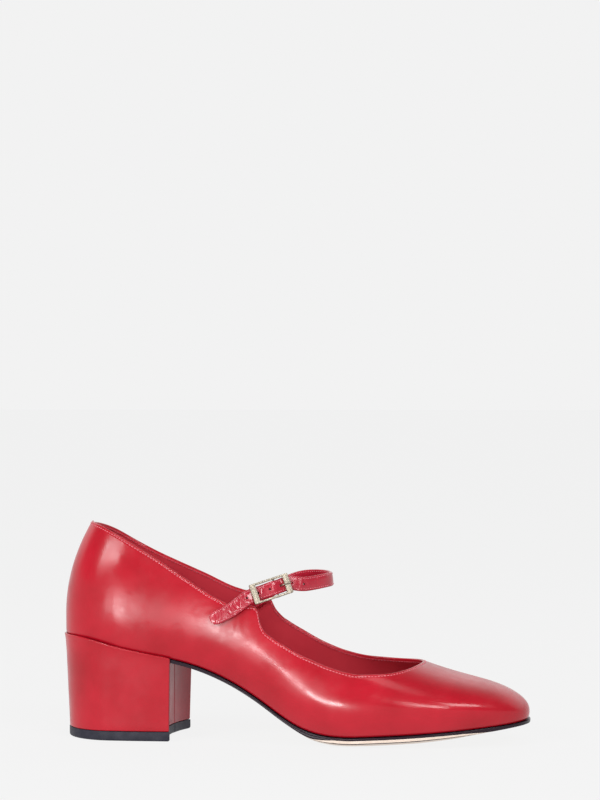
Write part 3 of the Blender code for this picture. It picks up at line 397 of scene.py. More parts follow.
def rib_foot(ribs):
    """Where the side of the last starts, above its turn under the foot: distance and height."""
    reach = np.full((len(ribs), 1), BALL_WIDTH / 2)
    for _ in range(12):
        z = feather(ribs[:, 0:1] + reach * ribs[:, 1:2]) + TURN_RADIUS
        reach = rib_reach(ribs, z)
    return reach, z


def rib_top(ribs, foot_z):
    """Height at which each rib meets the topline."""
    low = foot_z.copy()
    high = np.full_like(low, HEEL_HEIGHT + 1.2 * QUARTER_HEIGHT)
    for _ in range(36):
        middle = (low + high) / 2
        reach = rib_reach(ribs, middle)
        cut = middle > topline(ribs[:, 0:1] + reach * ribs[:, 1:2], ribs[:, 2:3])
        low = np.where(cut, low, middle)
        high = np.where(cut, middle, high)
    return low


def feather_reach(ribs):
    """Distance to the feather edge, and from there to the end of the upper's turn."""
    foot, foot_z = rib_foot(ribs)
    slope = (rib_reach(ribs, foot_z + TURN_RADIUS) - foot) / TURN_RADIUS
    edge = foot - slope * TURN_RADIUS
    return foot, foot_z, edge, edge - TURN_INWARD * TURN_RADIUS


def lining_reach(ribs, z):
    """Distance to the wall's inner face, which leans as the outer face does at that height."""
    step = TURN_RADIUS / 10
    reach = rib_reach(ribs, z)
    slope = (rib_reach(ribs, z + step) - reach) / step
    return reach - UPPER_WALL * np.sqrt(1 + slope ** 2)


def breast_circle():
    """Centre and radius of the round hollow that passes through the lateral corner."""
    radius = (BREAST_SPREAD ** 2 + BREAST_HOLLOW ** 2) / (2 * BREAST_HOLLOW)
    centre = HEEL_LENGTH + math.sqrt(radius ** 2 - (BREAST_SPREAD - BREAST_SKEW) ** 2)
    return centre, radius


def breast_line(y):
    """Station of the hollow breast at a distance from the axis."""
    centre, radius = breast_circle()
    across = np.minimum(np.abs(y + BREAST_SKEW), 1.3 * BREAST_SPREAD)
    return centre - np.sqrt(radius ** 2 - across ** 2)


def heel_outline(ribs, narrowing):
    """Outline of the heel, a share of its taper in from the rim."""
    foot, _, _, _ = feather_reach(ribs)
    taper = BACK_TAPER * ribs[:, 1:2] ** 2 + SIDE_TAPER * ribs[:, 2:3] ** 2
    return foot + HEEL_LEDGE - narrowing * taper


def wall_point(x, z, side, lift):
    """Point on the last's side, pushed out along its normal by lift."""
    step = 1e-4
    y = half_width(x, z, side)
    slope_x = (half_width(x + step, z, side) - y) / step
    slope_z = (half_width(x, z + step, side) - y) / step
    normal = np.array([-slope_x, 1.0, -slope_z])
    normal /= np.linalg.norm(normal)
    return np.array([x + normal[0] * lift, side * (y + normal[1] * lift),
                     z + normal[2] * lift])


def wall_lean(x, side):
    """How fast the wall closes in with height, half a strap below the topline."""
    step = STRAP_WIDTH / 4
    z = topline(x, side) - STRAP_WIDTH / 2
    return float(half_width(x, z - step, side) - half_width(x, z + step, side)) / (2 * step)


def strap_place(reach, across, rise):
    """Place in the strap's own shares, measured from the lateral ear."""
    x = EAR * LENGTH
    top = float(topline(x, -1))
    return np.array([x + STRAP_REACH * reach, across * float(half_width(x, top, -1)),
                     top + STRAP_RISE * rise])


class StrapPath:
    """The strap's middle line: its tip on the quarter, the buckle, the arch and its hidden root."""

    def __init__(self):
        rear, front = strap_place(*BUCKLE_REAR), strap_place(*BUCKLE_FRONT)
        self.middle = (rear + front) / 2
        self.along = (front - rear) / np.linalg.norm(front - rear)
        straight = [self.middle + self.along * BUCKLE_LENGTH * s for s in (-0.48, -0.24, 0, 0.24, 0.48)]
        on_wall = 2 * FIT_GAP + STRAP_THICKNESS / 2
        top = float(topline(EAR * LENGTH, -1))
        tip = [wall_point(at * LENGTH, top - STRAP_RISE * drop, -1, on_wall + TAB_THICKNESS)
               for at, drop in TIP_ROWS]
        arch = [strap_place(*row) for row in STRAP_ROWS]
        root = [wall_point(at * LENGTH, top - STRAP_RISE * drop, 1, -UPPER_WALL - on_wall - FIT_GAP)
                for at, drop in ROOT_ROWS]
        points = np.array(tip + straight + arch + root)
        run = np.concatenate([[0], np.cumsum(np.linalg.norm(np.diff(points, axis=0), axis=1))])
        self.curves = [flowing(run, points[:, axis]) for axis in range(3)]
        self.length = run[-1]
        self.buckle_at = run[len(tip) + 2]

    def place(self, s):
        return np.array([float(curve(s)) for curve in self.curves])

    def axes(self, s):
        """Direction along the strap, across it and out of its outer face."""
        step = 2e-4
        along = self.place(min(s + step, self.length)) - self.place(max(s - step, 0))
        along /= np.linalg.norm(along)
        x, y, _ = self.place(s)
        lean = wall_lean(min(x, EAR * LENGTH), math.copysign(1, y))
        share = np.clip(y / (ARCH_SPREAD * BALL_WIDTH), -1, 1)
        up = np.array([-ARCH_TILT * (1 - share ** 2), -lean * share, 1.0])
        across = up - np.dot(up, along) * along
        across /= np.linalg.norm(across)
        return along, across, np.cross(along, across)

def strap_bulge(s):
    """How far the strap rises between the buckle's end bars, over its centre bar."""
    half = 0.5 * BUCKLE_LENGTH - BUCKLE_BAR - BULGE_CENTRE
    t = np.clip(abs(s - BULGE_CENTRE) / half, 0, 1)
    return (STRAP_THICKNESS + FIT_GAP) * math.cos(t * math.pi / 2) ** 2


def buckle_levels():
    """Heights over the strap's middle line: frame underside, frame top, centre bar's axis."""
    under = STRAP_THICKNESS / 2 + FIT_GAP
    hinge = strap_bulge(HINGE_AHEAD) - TAB_DROP - TAB_SWING
    return under, under + BUCKLE_DEPTH, hinge


def dish(y, width, share_of_dish):
    """Dip across the foot bed, deepest on the axis."""
    return share_of_dish * BED_DISH * (1 - np.clip(np.abs(y) / width, 0, 1) ** 2)


# Finer forms that the looks add, in metres

RIM_WALL = 0.0013         # the upper's wall at its folded edge
RIM_FLAT = 0.0006         # distance below the topline over which the wall stays that thin
RIM_BLEND = 0.003         # reach over which it then grows to its full thickness
RIM_TURNS = (25, 50, 75, 90, 105, 130, 155)            # degrees round the edge, outside first
FOLD = (0.0007, 0.0005, 0.00007)           # soft roll of the folded edge: place, spread and rise
STITCH_INSET = 0.0015     # stitch row below the topline
GROOVE = (0.00034, 0.00014, 0.00012)       # under that row: spread, depth outside, depth inside
LINING_SEAMS = (0.0505, 0.1290)            # places of the lining's seams from the heel
SEAM = (0.00030, 0.00022)                  # their spread and depth
LINE_LIFT = 0.00004       # thread rows above the groove outside, and half of that inside
STITCH_SIZES = (0.00023, 0.00165, 0.00125)             # thread radius, pitch and length
STRAP_STITCH_SIZES = (0.00016, 0.0014, 0.0011)
THREAD_RINGS = (-1.0, -0.8, -0.4, 0.0, 0.4, 0.8, 1.0)  # along half a stitch
THREAD_SPOKES = 6
STRAP_INSET = 0.00095     # stitch rows inside the strap's edges
STRAP_PUFF = 0.00016      # how far the strap's outer face swells
STRAP_GROOVE = (0.00028, 0.00016, 0.00010)             # the same three for the strap's rows
STRAP_PITCH = 0.00042     # between the strap's cross sections here
ROOT_BARE = 0.0008        # length without stitches at the strap's root
THREAD_STEP = 0.0006      # between the points that guide the strap's stitches
THREAD_SINK = 0.00012     # how deep they lie in the strap's face
HOLES = range(-3, 3)      # the strap's holes, counted from the one in use
SPARE_HOLE_RADIUS = HOLE_RADIUS * 1.1
HOLE_SIDES = 28
BLACK_EDGE = 0.00140      # height of the outsole's dyed edge where no bare leather shows
BARE_START = 0.133        # the bare leather of the outsole's edge, from the heel
BARE_END = 0.224
BARE_FADE = 0.012
BARE_GROWTH = 1.15        # of the bare band over what the dyed edge leaves
BARE_LEAST = 0.00002      # least height of that band where it shows
EDGE_SWELL = 0.0003       # roundness of the outsole's edge
EDGE_INSET = 0.0004       # how far the outsole's lower face ends inside that edge
RUN_OUT = 0.25            # share of the sole's sides that follows the breast's hollow
SOCK_ROUND = (0.94, 0.0005)                # where the sock's edge turns down, as a share, and how far
BREAST_SEAM = 0.0062      # seam of the heel's cover, to the medial side
SEAM_HALF = 0.0007        # half width of the finer mesh at that seam
LAP = (0.00022, 0.00012)  # height and softness of the step there
HEEL_CORNER = 0.0007      # length of each side that its round corner to the breast takes up
HEEL_EDGE = 0.00048       # radius of the heel's ledge
HEEL_LIP = 0.0016         # width of the heel's ledge, most of it hidden in the upper
HEEL_FACE = 0.004         # width of the first ring of faces inside the heel's lower edge
HEEL_REACH = 0.004        # how far past HEEL_LENGTH the heel's sides are worked out
TOP_PIECE_FACE = 0.006    # width of that ring on the top piece
COUNTER_EASE = 0.012      # reach over which the side runs into the counter
EASE_PASSES = 40          # rounds of smoothing there
METAL_BEVEL = 0.00022     # of the buckle frame
METAL_CORNER = 0.0006     # radius of its outer corners
WINDOW_CORNER = 0.00025   # radius of its window's corners
METAL_SPOKES = 14

# Meshes: where the upper's ribs lie closest and how many there are in each stretch, then the rest
CLOSE_RIBS = (0.36, 0.48)
SIDE_RIBS, TOE_RIBS, BACK_RIBS = (50, 62, 36), 96, 48
SIDE_STEPS, TURN_STEPS, LEVELS = 150, 9, 46            # up the side, round the turn, in all
INSOLE_RIBS, OUTSOLE_RIBS = (70, 60, 40), (90, 80, 0)  # along the sides, round the toe, the back
INSOLE_SHARES = (0, 0.2, 0.4, 0.6, 0.8, 0.9, 0.96, 0.985, 1.0)
OUTSOLE_SHARES = (0, 0.1, 0.2, 0.3, 0.4, 0.5, 0.6, 0.7, 0.78, 0.84, 0.89, 0.93, 0.965, 0.985)
HEEL_LEVELS = (0.02, 0.05, 0.1, 0.16, 0.24, 0.35, 0.5, 0.65, 0.8, 0.92, 0.985)
STRAP_SHARES = (0, 0.25, 0.5, 0.7, 0.78, 0.84, 0.9, 0.95, 0.985, 1)
PRONG_STEPS = 90

# Rings of the outsole's bare and dyed edge: share of the band's height, share of EDGE_SWELL outward
BARE_ROWS = ((0.0, -0.5), (0.22, -0.1), (0.35, 0.0), (0.7, 0.0), (0.93, 0.0))
DYED_ROWS = ((0.0, -0.25), (0.07, 0.2), (0.35, 0.35), (0.48, 0.0), (0.56, 0.0), (0.66, 0.3),
             (0.88, 0.25), (1.0, -0.3))

# Distances below the topline at which the upper's mesh is finer
NEAR_TOP = (0.0039, 0.0032, 0.0027, 0.0023, 0.0020, 0.0018, 0.00165, 0.0015, 0.00135, 0.0012, 0.0010,
            0.0008, 0.00065)

# Creases of the upper: x from the heel, z above the floor, direction in degrees, length, width, depth
# and side (-1 lateral). The ridge beside each is a share of its depth.
CREASE_RIDGE = 0.45
CREASE_ROWS = (
    (0.0760, 0.0700, 40, 0.010, 0.0013, 0.00009, -1),
    (0.0785, 0.0672, 28, 0.009, 0.0012, 0.00008, -1),
    (0.0880, 0.0580, 74, 0.012, 0.0016, 0.00005, -1),
    (0.0955, 0.0620, 80, 0.010, 0.0013, 0.00006, -1),
    (0.0990, 0.0600, 98, 0.012, 0.0016, 0.00006, -1),
    (0.0950, 0.0500, 80, 0.018, 0.0045, 0.00009, -1),
    (0.1400, 0.0300, 150, 0.020, 0.0040, 0.00010, -1),
    (0.1000, 0.0620, 80, 0.014, 0.0016, 0.00010, 1),
    (0.1060, 0.0560, 70, 0.014, 0.0016, 0.00010, 1),
)

# Crosswise wrinkles of the strap: distance from the tip, width, depth and slant
WRINKLE_RIDGE = 0.5
WOBBLE = (0.0004, 900, 3000)  # how far they wander, how fast across, and shift from one to the next
WRINKLE_ROWS = (
    (0.0036, 0.00045, 0.00022, 0.20),
    (0.0052, 0.00055, 0.00030, -0.15),
    (0.0071, 0.00045, 0.00024, 0.25),
    (0.0088, 0.00055, 0.00034, 0.05),
    (0.0109, 0.00045, 0.00028, -0.20),
    (0.0128, 0.00055, 0.00032, 0.15),
    (0.0150, 0.00050, 0.00026, -0.05),
    (0.0182, 0.00060, 0.00034, 0.30),
    (0.0215, 0.00060, 0.00018, -0.10),
    (0.0300, 0.00070, 0.00016, 0.30),
    (0.0345, 0.00060, 0.00014, -0.25),
    (0.0500, 0.00080, 0.00016, 0.20),
    (0.0540, 0.00070, 0.00014, -0.25),
    (0.0610, 0.00090, 0.00012, 0.15),
)

# Studio: wall and floor tones, then lamps by name, turn to the toe and rise in degrees, distance, two
# sizes, power and aim
WALL = 0.888
FRONT_LEVEL = 0.25
BACK_LEVEL = 1.6
PAPER_SHADE = 0.04
PAPER_GLOW = 0.855
PAPER_HALF = 40
LAMP_ROWS = (
    ("low_left", -18, 0.5, 1.6, 0.27, 0.09, 6.4, (-0.05, 0, 0.07)),
    ("upper_left", -34, 28, 1.8, 0.80, 0.50, 17.0, (-0.07, 0, 0.09)),
    ("right", 20, 25, 1.6, 0.50, 0.30, 6.5, (0.08, 0, 0.03)),
    ("far_right", 46, 41, 1.6, 0.60, 0.36, 7.5, (0.09, 0, 0.03)),
    ("top", 0, 76, 1.6, 0.8, 0.5, 4.5, (0.0, 0, 0.05)),
)

# Camera: turn toward the toe in degrees, distance, height, aim from the heel, lens in pixels
CAMERA_TURN = 8.6
CAMERA_DISTANCE = 1.2
CAMERA_HEIGHT = 0.1746
CAMERA_AIM = 0.1233
LENS_PIXELS = 2318.0
PICTURE_HEIGHT = 800.0
SENSOR = 36.0

# Noises of the leather: scale, detail and roughness, and for the folds how far each axis is stretched
CLOUDS = (38, 5.0)
PATCHES = (120, 6.0)
WAVES = (95, 2.0)
SHEEN = (60, 6.0, 0.65)
GRAIN = (2600, 4.0)
FOLDS = (520, 3.0, 0.55, (1.0, 0.5, 0.5))
PORES = 1500


# Materials

def fill(node, **values):
    """Sets a node's sockets, with _ for the spaces in their names."""
    for socket, value in values.items():
        node.inputs[socket.replace("_", " ")].default_value = value
    return node


def add(tree, kind, **values):
    """New shader node with its sockets set."""
    return fill(tree.nodes.new("ShaderNode" + kind), **values)


def shader_of(name, colour, roughness, metallic=0.0, specular=0.5):
    """A new node material and its Principled shader."""
    made = bpy.data.materials.new(name)
    made.use_nodes = True
    shader = fill(made.node_tree.nodes["Principled BSDF"], Base_Color=(*colour, 1.0),
                  Roughness=roughness, Metallic=metallic, Specular_IOR_Level=specular)
    return made, made.node_tree, shader


def noise(tree, scale, detail=3.0, rough=0.55, stretch=None):
    """A noise over the object's own place."""
    made = add(tree, "TexNoise", Scale=scale, Detail=detail, Roughness=rough)
    source = add(tree, "TexCoord").outputs["Object"]
    if stretch:
        turn = add(tree, "Mapping", Scale=stretch)
        tree.links.new(source, turn.inputs["Vector"])
        source = turn.outputs["Vector"]
    tree.links.new(source, made.inputs["Vector"])
    return made.outputs["Fac"]


def ramp(tree, value, stops):
    """Colour ramp through two (place, colour) stops."""
    made = add(tree, "ValToRGB")
    for element, (at, colour) in zip(made.color_ramp.elements, stops):
        element.position = at
        element.color = (*colour, 1.0)
    tree.links.new(value, made.inputs["Fac"])
    return made.outputs["Color"]


def bump(tree, height, distance, strength, below=None):
    """Relief of a distance in metres, laid over another one."""
    made = add(tree, "Bump", Strength=strength, Distance=distance)
    tree.links.new(height, made.inputs["Height"])
    if below is not None:
        tree.links.new(below, made.inputs["Normal"])
    return made.outputs["Normal"]


def grey(level):
    """Colour with three equal shares."""
    return (level, level, level)


def leather(name, dark, light, gloss, grain, coat, wrinkles=0.0):
    """Smooth dyed leather: cloudy colour, fine pores and a soft waviness."""
    made, tree, shader = shader_of(name, light, gloss, specular=0.06)
    rough = (0.3, grey(gloss - 0.05)), (0.7, grey(gloss + 0.08))
    sheen = (0.38, grey(0.13)), (0.62, grey(0.27))
    for socket, cloud, stops in (("Base Color", CLOUDS, ((0.30, dark), (0.70, light))),
                                 ("Roughness", PATCHES, rough), ("Coat Roughness", SHEEN, sheen)):
        tree.links.new(ramp(tree, noise(tree, *cloud), stops), shader.inputs[socket])
    fill(shader, Coat_Weight=coat)
    cells = add(tree, "TexVoronoi", Scale=PORES)
    cells.feature = "DISTANCE_TO_EDGE"
    tree.links.new(add(tree, "TexCoord").outputs["Object"], cells.inputs["Vector"])
    relief = bump(tree, noise(tree, *WAVES), 0.0004, 0.30)
    relief = bump(tree, cells.outputs["Distance"], 0.00006, 0.22 * grain, relief)
    relief = bump(tree, noise(tree, *GRAIN), 0.00004, 0.34 * grain, relief)
    if wrinkles:
        relief = bump(tree, noise(tree, *FOLDS), 0.0002, wrinkles, relief)
    tree.links.new(relief, shader.inputs["Normal"])
    return made


def finished(name, colour, roughness, grain, tint=None, polish=None, metallic=0.0, specular=0.5):
    """Other materials: grain is a noise, depth and strength, tint and polish a noise and two stops."""
    made, tree, shader = shader_of(name, colour, roughness, metallic, specular)
    cloud, depth, strength = grain
    tree.links.new(bump(tree, noise(tree, *cloud), depth, strength), shader.inputs["Normal"])
    for socket, clouds in (("Base Color", tint), ("Roughness", polish)):
        if clouds:
            tree.links.new(ramp(tree, noise(tree, *clouds[0]), clouds[1]), shader.inputs[socket])
    return made


RED = leather("calf_red", (0.305, 0.003, 0.010), (0.412, 0.006, 0.018), 0.36, 2.2, 0.60)
# The heel's breast: the same red leather, painted darker as shade on the side turned from the lamps.
SHADED_BREAST_RED = leather("breast_painted_shade_red", (0.18, 0.008, 0.016), (0.24, 0.012, 0.022), 0.34, 1.0, 0.50)
STRAP_RED = leather("strap_red", (0.29, 0.008, 0.022), (0.41, 0.014, 0.032), 0.30, 1.4, 1.0, 0.7)
LINING = leather("lining_red", (0.45, 0.030, 0.046), (0.53, 0.042, 0.060), 0.46, 1.6, 0.25)
SOCK = leather("sock_red", (0.36, 0.014, 0.026), (0.44, 0.022, 0.036), 0.54, 1.6, 0.10)
THREAD_GRAIN = ((5200, 2.0), 0.00005, 0.5)
STITCH = finished("thread_pink", (0.62, 0.15, 0.19), 0.5, THREAD_GRAIN)
DEEP_STITCH = finished("thread_red", (0.40, 0.06, 0.085), 0.5, THREAD_GRAIN)
# Black of the sole's dyed edge, also used for the thin painted contact shadow along the bottom of the bare
# band.
DYE_AND_SHADE_BLACK = finished("edge_dye_and_painted_shade", (0.016, 0.008, 0.014), 0.30,
                      ((900, 3.0, 0.55, (0.15, 0.15, 1.0)), 0.00008, 0.4), specular=0.2)
BEIGE = finished("sole_beige", (0.62, 0.51, 0.43), 0.42, ((1800, 4.0), 0.00008, 0.4),
                 tint=((420, 6.0, 0.55, (0.4, 1.0, 1.0)),
                       ((0.3, (0.58, 0.46, 0.38)), (0.7, (0.68, 0.57, 0.49)))))
RUBBER = finished("top_piece_black", (0.018, 0.018, 0.028), 0.50, ((3200, 3.0), 0.00006, 0.35),
                  tint=((240, 4.0), ((0.3, (0.013, 0.013, 0.022)), (0.7, (0.026, 0.025, 0.036)))),
                  specular=0.2)
GOLD = finished("pale_gold_metal", (0.31, 0.272, 0.218), 0.38, ((1600, 2.0), 0.00003, 0.25),
                polish=((700, 3.0, 0.55, (1.0, 0.12, 1.0)), ((0.3, grey(0.36)), (0.7, grey(0.50)))),
                metallic=1.0)
DARK = finished("hole_shadow", (0.05, 0.006, 0.008), 0.8, ((4000, 2.0), 0.00003, 0.3))


# Mesh helpers

def placed(name, data):
    """New object linked to the scene."""
    obj = bpy.data.objects.new(name, data)
    bpy.context.scene.collection.objects.link(obj)
    return obj


def piece(name, vertices, faces, materials, slots=None, cad=None, sharp=None):
    """Welded mesh object in the row frame that rides on the shoe and stands for a CAD node."""
    data = bpy.data.meshes.new(name)
    data.from_pydata((np.asarray(vertices) + SHIFT).tolist(), [], [list(map(int, f)) for f in faces])
    for made in materials:
        data.materials.append(made)
    if slots is not None:
        data.polygons.foreach_set("material_index", np.asarray(slots, dtype=np.int32))
    work = bmesh.new()
    work.from_mesh(data)
    bmesh.ops.remove_doubles(work, verts=work.verts, dist=2e-6)
    bmesh.ops.recalc_face_normals(work, faces=work.faces)
    work.to_mesh(data)
    work.free()
    data.shade_smooth()
    if sharp:
        data.set_sharp_from_angle(angle=math.radians(sharp))
    obj = placed(name, data)
    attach(obj, "root")
    if cad:
        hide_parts(cad)
    return obj


def tube(rings, count, first=0, closed=False):
    """Quads between rings of points, with a face over each end unless the last ring meets the first."""
    faces = []
    for r in range(rings if closed else rings - 1):
        a, b = first + r * count, first + (r + 1) % rings * count
        for i in range(count):
            j = (i + 1) % count
            faces.append((a + i, a + j, b + j, b + i))
    if not closed:
        faces += [tuple(range(b, b + count)), tuple(range(first, first + count))[::-1]]
    return faces


def bell(distance, spread):
    """One at no distance, falling softly to nothing beyond the spread."""
    return np.exp(-(distance / spread) ** 2)


def unit(vectors):
    """Vectors along the last axis brought to length one."""
    return vectors / np.maximum(np.linalg.norm(vectors, axis=-1, keepdims=True), 1e-12)


def length_along(points):
    """Distance run at each of a row of points."""
    return np.concatenate([[0], np.cumsum(np.linalg.norm(np.diff(points, axis=0), axis=1))])


def surface_normals(points, outward):
    """Normals of a closed grid of points, turned to agree with a rough outward direction."""
    round_way = np.roll(points, -1, axis=0) - np.roll(points, 1, axis=0)
    normal = unit(np.cross(round_way, np.gradient(points, axis=1)))
    turned = np.sum(normal * outward, axis=2, keepdims=True) < 0
    return np.where(turned, -normal, normal)


def stitches(name, line, up, closed, thread, sizes=STITCH_SIZES):
    """Row of sunk thread loops along a line of points, with the surface's normal at each."""
    radius, pitch, length = sizes
    if closed:
        line, up = np.vstack([line, line[:1]]), np.vstack([up, up[:1]])
    run = length_along(line)
    count = int(run[-1] / pitch)
    pitch = run[-1] / count
    middle = (np.arange(count) + 0.5) * pitch

    def at(places, values):
        return np.stack([np.interp(places, run, values[:, k]) for k in range(3)], axis=1)

    place = at(middle, line)
    along = unit(at(middle + 2e-4, line) - place)
    out = at(middle, up)
    out = unit(out - along * np.sum(along * out, axis=1, keepdims=True))
    side = np.cross(along, out)
    shape = []
    for t in THREAD_RINGS:
        thick = radius * (1.0 - 0.75 * abs(t) ** 3)
        lift = 0.35 * radius - 1.1 * radius * t * t
        for m in range(THREAD_SPOKES):
            a = 2 * math.pi * m / THREAD_SPOKES
            shape.append((0.5 * length * t, thick * math.cos(a), lift + thick * math.sin(a)))
    shape = np.array(shape)[None]
    block = (place[:, None] + shape[..., 0:1] * along[:, None] + shape[..., 1:2] * side[:, None]
             + shape[..., 2:3] * out[:, None])
    faces = []
    for s in range(count):
        faces += tube(len(THREAD_RINGS), THREAD_SPOKES, s * shape.shape[1])
    return piece(name, block.reshape(-1, 3), faces, [thread])


# Upper

def crease_depth(points):
    """Soft troughs and ridges placed one by one, seen from the side."""
    depth = np.zeros(points.shape[:2])
    for x, z, turn, long, wide, deep, side in CREASE_ROWS:
        turn = math.radians(turn)
        dx, dz = points[..., 0] - x, points[..., 2] - z
        u = dx * math.cos(turn) + dz * math.sin(turn)
        v = dz * math.cos(turn) - dx * math.sin(turn)
        v = v + 0.12 * u * np.sin(u / long * 5)
        fade = np.exp(-(2 * u / long) ** 4) * (np.sign(points[..., 1]) == side)
        depth += deep * fade * (bell(v, wide) - CREASE_RIDGE * bell(v - 1.7 * wide, wide))
    return depth


def ease_counter(grid):
    """Lets the side run softly into the round of the counter."""
    near = bell(grid[..., 0] - HEEL_CENTRE * LENGTH, COUNTER_EASE)[..., None]
    eased = grid
    for _ in range(EASE_PASSES):
        middle = (np.roll(eased, 1, axis=0) + np.roll(eased, -1, axis=0)) / 2
        eased = eased + 0.5 * near * (middle - eased)
    along = np.roll(grid, -1, axis=0) - np.roll(grid, 1, axis=0)
    across = unit(np.stack([along[..., 1], -along[..., 0], np.zeros(along.shape[:2])], axis=-1))
    return grid + across * np.sum((eased - grid) * across, axis=2, keepdims=True)


def upper_ribs():
    """Ribs of the upper, closest where the ears are."""
    ends = (HEEL_CENTRE, *CLOSE_RIBS, TOE_CENTRE)
    stations = []
    for start, end, count in zip(ends, ends[1:], SIDE_RIBS):
        stations = stations[:-1] + side_stations(start, end, count)
    return last_ribs(stations, TOE_RIBS, BACK_RIBS)


def upper_grid(ribs):
    """Outer face of the upper by rib and level, and each point's distance below the topline."""
    foot, foot_z = rib_foot(ribs)
    z = foot_z + (rib_top(ribs, foot_z) - foot_z) * np.linspace(0, 1, SIDE_STEPS)[None, :]
    side = rib_points(ribs, rib_reach(ribs, z), z)
    _, _, edge, inner = feather_reach(ribs)
    under = [(inner - LASTING_MARGIN, 0.0)]
    for t in np.linspace(1, 0, TURN_STEPS)[:-1]:
        reach = (1 - t) ** 2 * foot + 2 * t * (1 - t) * edge + t * t * inner
        under.append((reach, (1 - t) ** 2 * TURN_RADIUS))
    under = [rib_points(ribs, reach, feather(ribs[:, 0:1] + reach * ribs[:, 1:2]) + height)
             for reach, height in under]
    dense = np.concatenate(under + [side], axis=1)
    near = np.array(NEAR_TOP)
    grid = np.empty((len(ribs), LEVELS + len(near), 3))
    below = np.empty(grid.shape[:2])
    for i, points in enumerate(dense):
        run = length_along(points)
        total = run[-1]
        stops = np.concatenate([np.linspace(0, total - near[0], LEVELS + 1)[:-1], total - near])
        below[i] = total - stops
        for axis in range(3):
            grid[i, :, axis] = np.interp(stops, run, points[:, axis])
    return ease_counter(grid), below


def upper_normals(ribs, grid):
    """Outward normals, turned down over the margin under the foot."""
    flat = np.column_stack([ribs[:, 1:], np.zeros(len(ribs))])[:, None]
    normal = surface_normals(grid, flat + np.array([0, 0, 0.15]))
    for k in range(TURN_STEPS):
        mix = k / TURN_STEPS
        normal[:, k] = flat[:, 0] * mix + np.array([0, 0, -1.0]) * (1 - mix)
    return unit(normal)


def dress_upper():
    ribs = upper_ribs()
    grid, below = upper_grid(ribs)
    normal = upper_normals(ribs, grid)
    groove = bell(below - STITCH_INSET, GROOVE[0])
    push = FOLD[2] * bell(below - FOLD[0], FOLD[1]) - GROOVE[1] * groove - crease_depth(grid)
    outer = grid + normal * push[..., None]
    thin = np.exp(-np.clip(below - RIM_FLAT, 0, None) / RIM_BLEND)
    wall = UPPER_WALL - (UPPER_WALL - RIM_WALL) * thin
    seams = sum(bell(grid[..., 0] - at, SEAM[0]) for at in LINING_SEAMS)
    lining = grid - normal * (wall + GROOVE[2] * groove + SEAM[1] * seams)[..., None]
    top, up, face = outer[:, -1], unit(outer[:, -1] - outer[:, -2]), normal[:, -1]
    centre = top - face * RIM_WALL / 2
    rim = [centre + RIM_WALL / 2 * (face * math.cos(a) + up * math.sin(a)) for a in np.radians(RIM_TURNS)]
    rows = np.concatenate([outer, np.stack(rim, axis=1), lining[:, ::-1]], axis=1)
    count, total = rows.shape[:2]
    slots = np.tile(np.arange(total) >= outer.shape[1] + len(rim), count)
    piece("upper_leather", rows.reshape(-1, 3), tube(count, total, closed=True), [RED, LINING], slots,
          "upper")
    k = LEVELS + NEAR_TOP.index(STITCH_INSET)
    lift = normal[:, k] * LINE_LIFT
    stitches("topline_stitches", outer[:, k] + lift, normal[:, k], True, STITCH)
    stitches("lining_stitches", lining[:, k] - lift / 2, -normal[:, k], True, DEEP_STITCH)


# Insole, outsole, heel and top piece

def plate(ribs, shares, outline, bottom, top, sides, closed):
    """Points and faces of a plate over the ribs' feet, with the ring that each face starts from."""
    count = len(ribs)
    rings = []

    def level(edge, share, height):
        flat = rib_points(ribs, edge * share, np.zeros((count, 1)))[:, 0, :2]
        rings.append(np.column_stack([flat, height(flat[:, 0], flat[:, 1], share)]))

    for share in shares:
        level(outline, share, bottom)
    for reach, z in sides[:-1]:
        rings.append(rib_points(ribs, reach, z)[:, 0, :])
    for share in reversed(shares):
        level(sides[-1][0], share, top)
    faces, ring_of = [], []
    for r in range(len(rings) - 1):
        for i in range(count if closed else count - 1):
            j = (i + 1) % count
            a, b = r * count, (r + 1) * count
            faces.append((a + i, a + j, b + j, b + i))
            ring_of.append(r)
    if not closed:
        last = len(rings) - 1
        for k in range(len(shares) - 1):
            for end in (0, count - 1):
                between = []
                if k == len(shares) - 2:
                    between = [(len(shares) + m) * count + end for m in range(len(sides) - 1)]
                faces.append([k * count + end, (k + 1) * count + end] + between
                             + [(last - k - 1) * count + end, (last - k) * count + end])
                ring_of.append(-1)
    return np.concatenate(rings), faces, np.array(ring_of)


def dress_insole():
    side_count, toe_count, back_count = INSOLE_RIBS
    ribs = last_ribs(side_stations(HEEL_CENTRE, TOE_CENTRE, side_count), toe_count, back_count)
    _, foot_z = rib_foot(ribs)
    lower = lining_reach(ribs, foot_z) - 3 * FIT_GAP
    upper = lining_reach(ribs, foot_z + 0.7 * INSOLE_THICKNESS) - FIT_GAP
    flat, drop = SOCK_ROUND

    def bed(x, y, share):
        lift = (UPPER_WALL + 1.8 * FIT_GAP) * slant(x)
        return feather(x) + lift - dish(y, BALL_WIDTH / 2, 1 - share ** 2) * CROWN(x / LENGTH)

    def sock(x, y, share):
        return bed(x, y, share) + INSOLE_THICKNESS - drop * np.clip((share - flat) / (1 - flat), 0, 1) ** 2

    points, faces, _ = plate(ribs, INSOLE_SHARES, lower, bed, sock, [(upper, None)], True)
    piece("sock", points, faces, [SOCK], None, "insole")


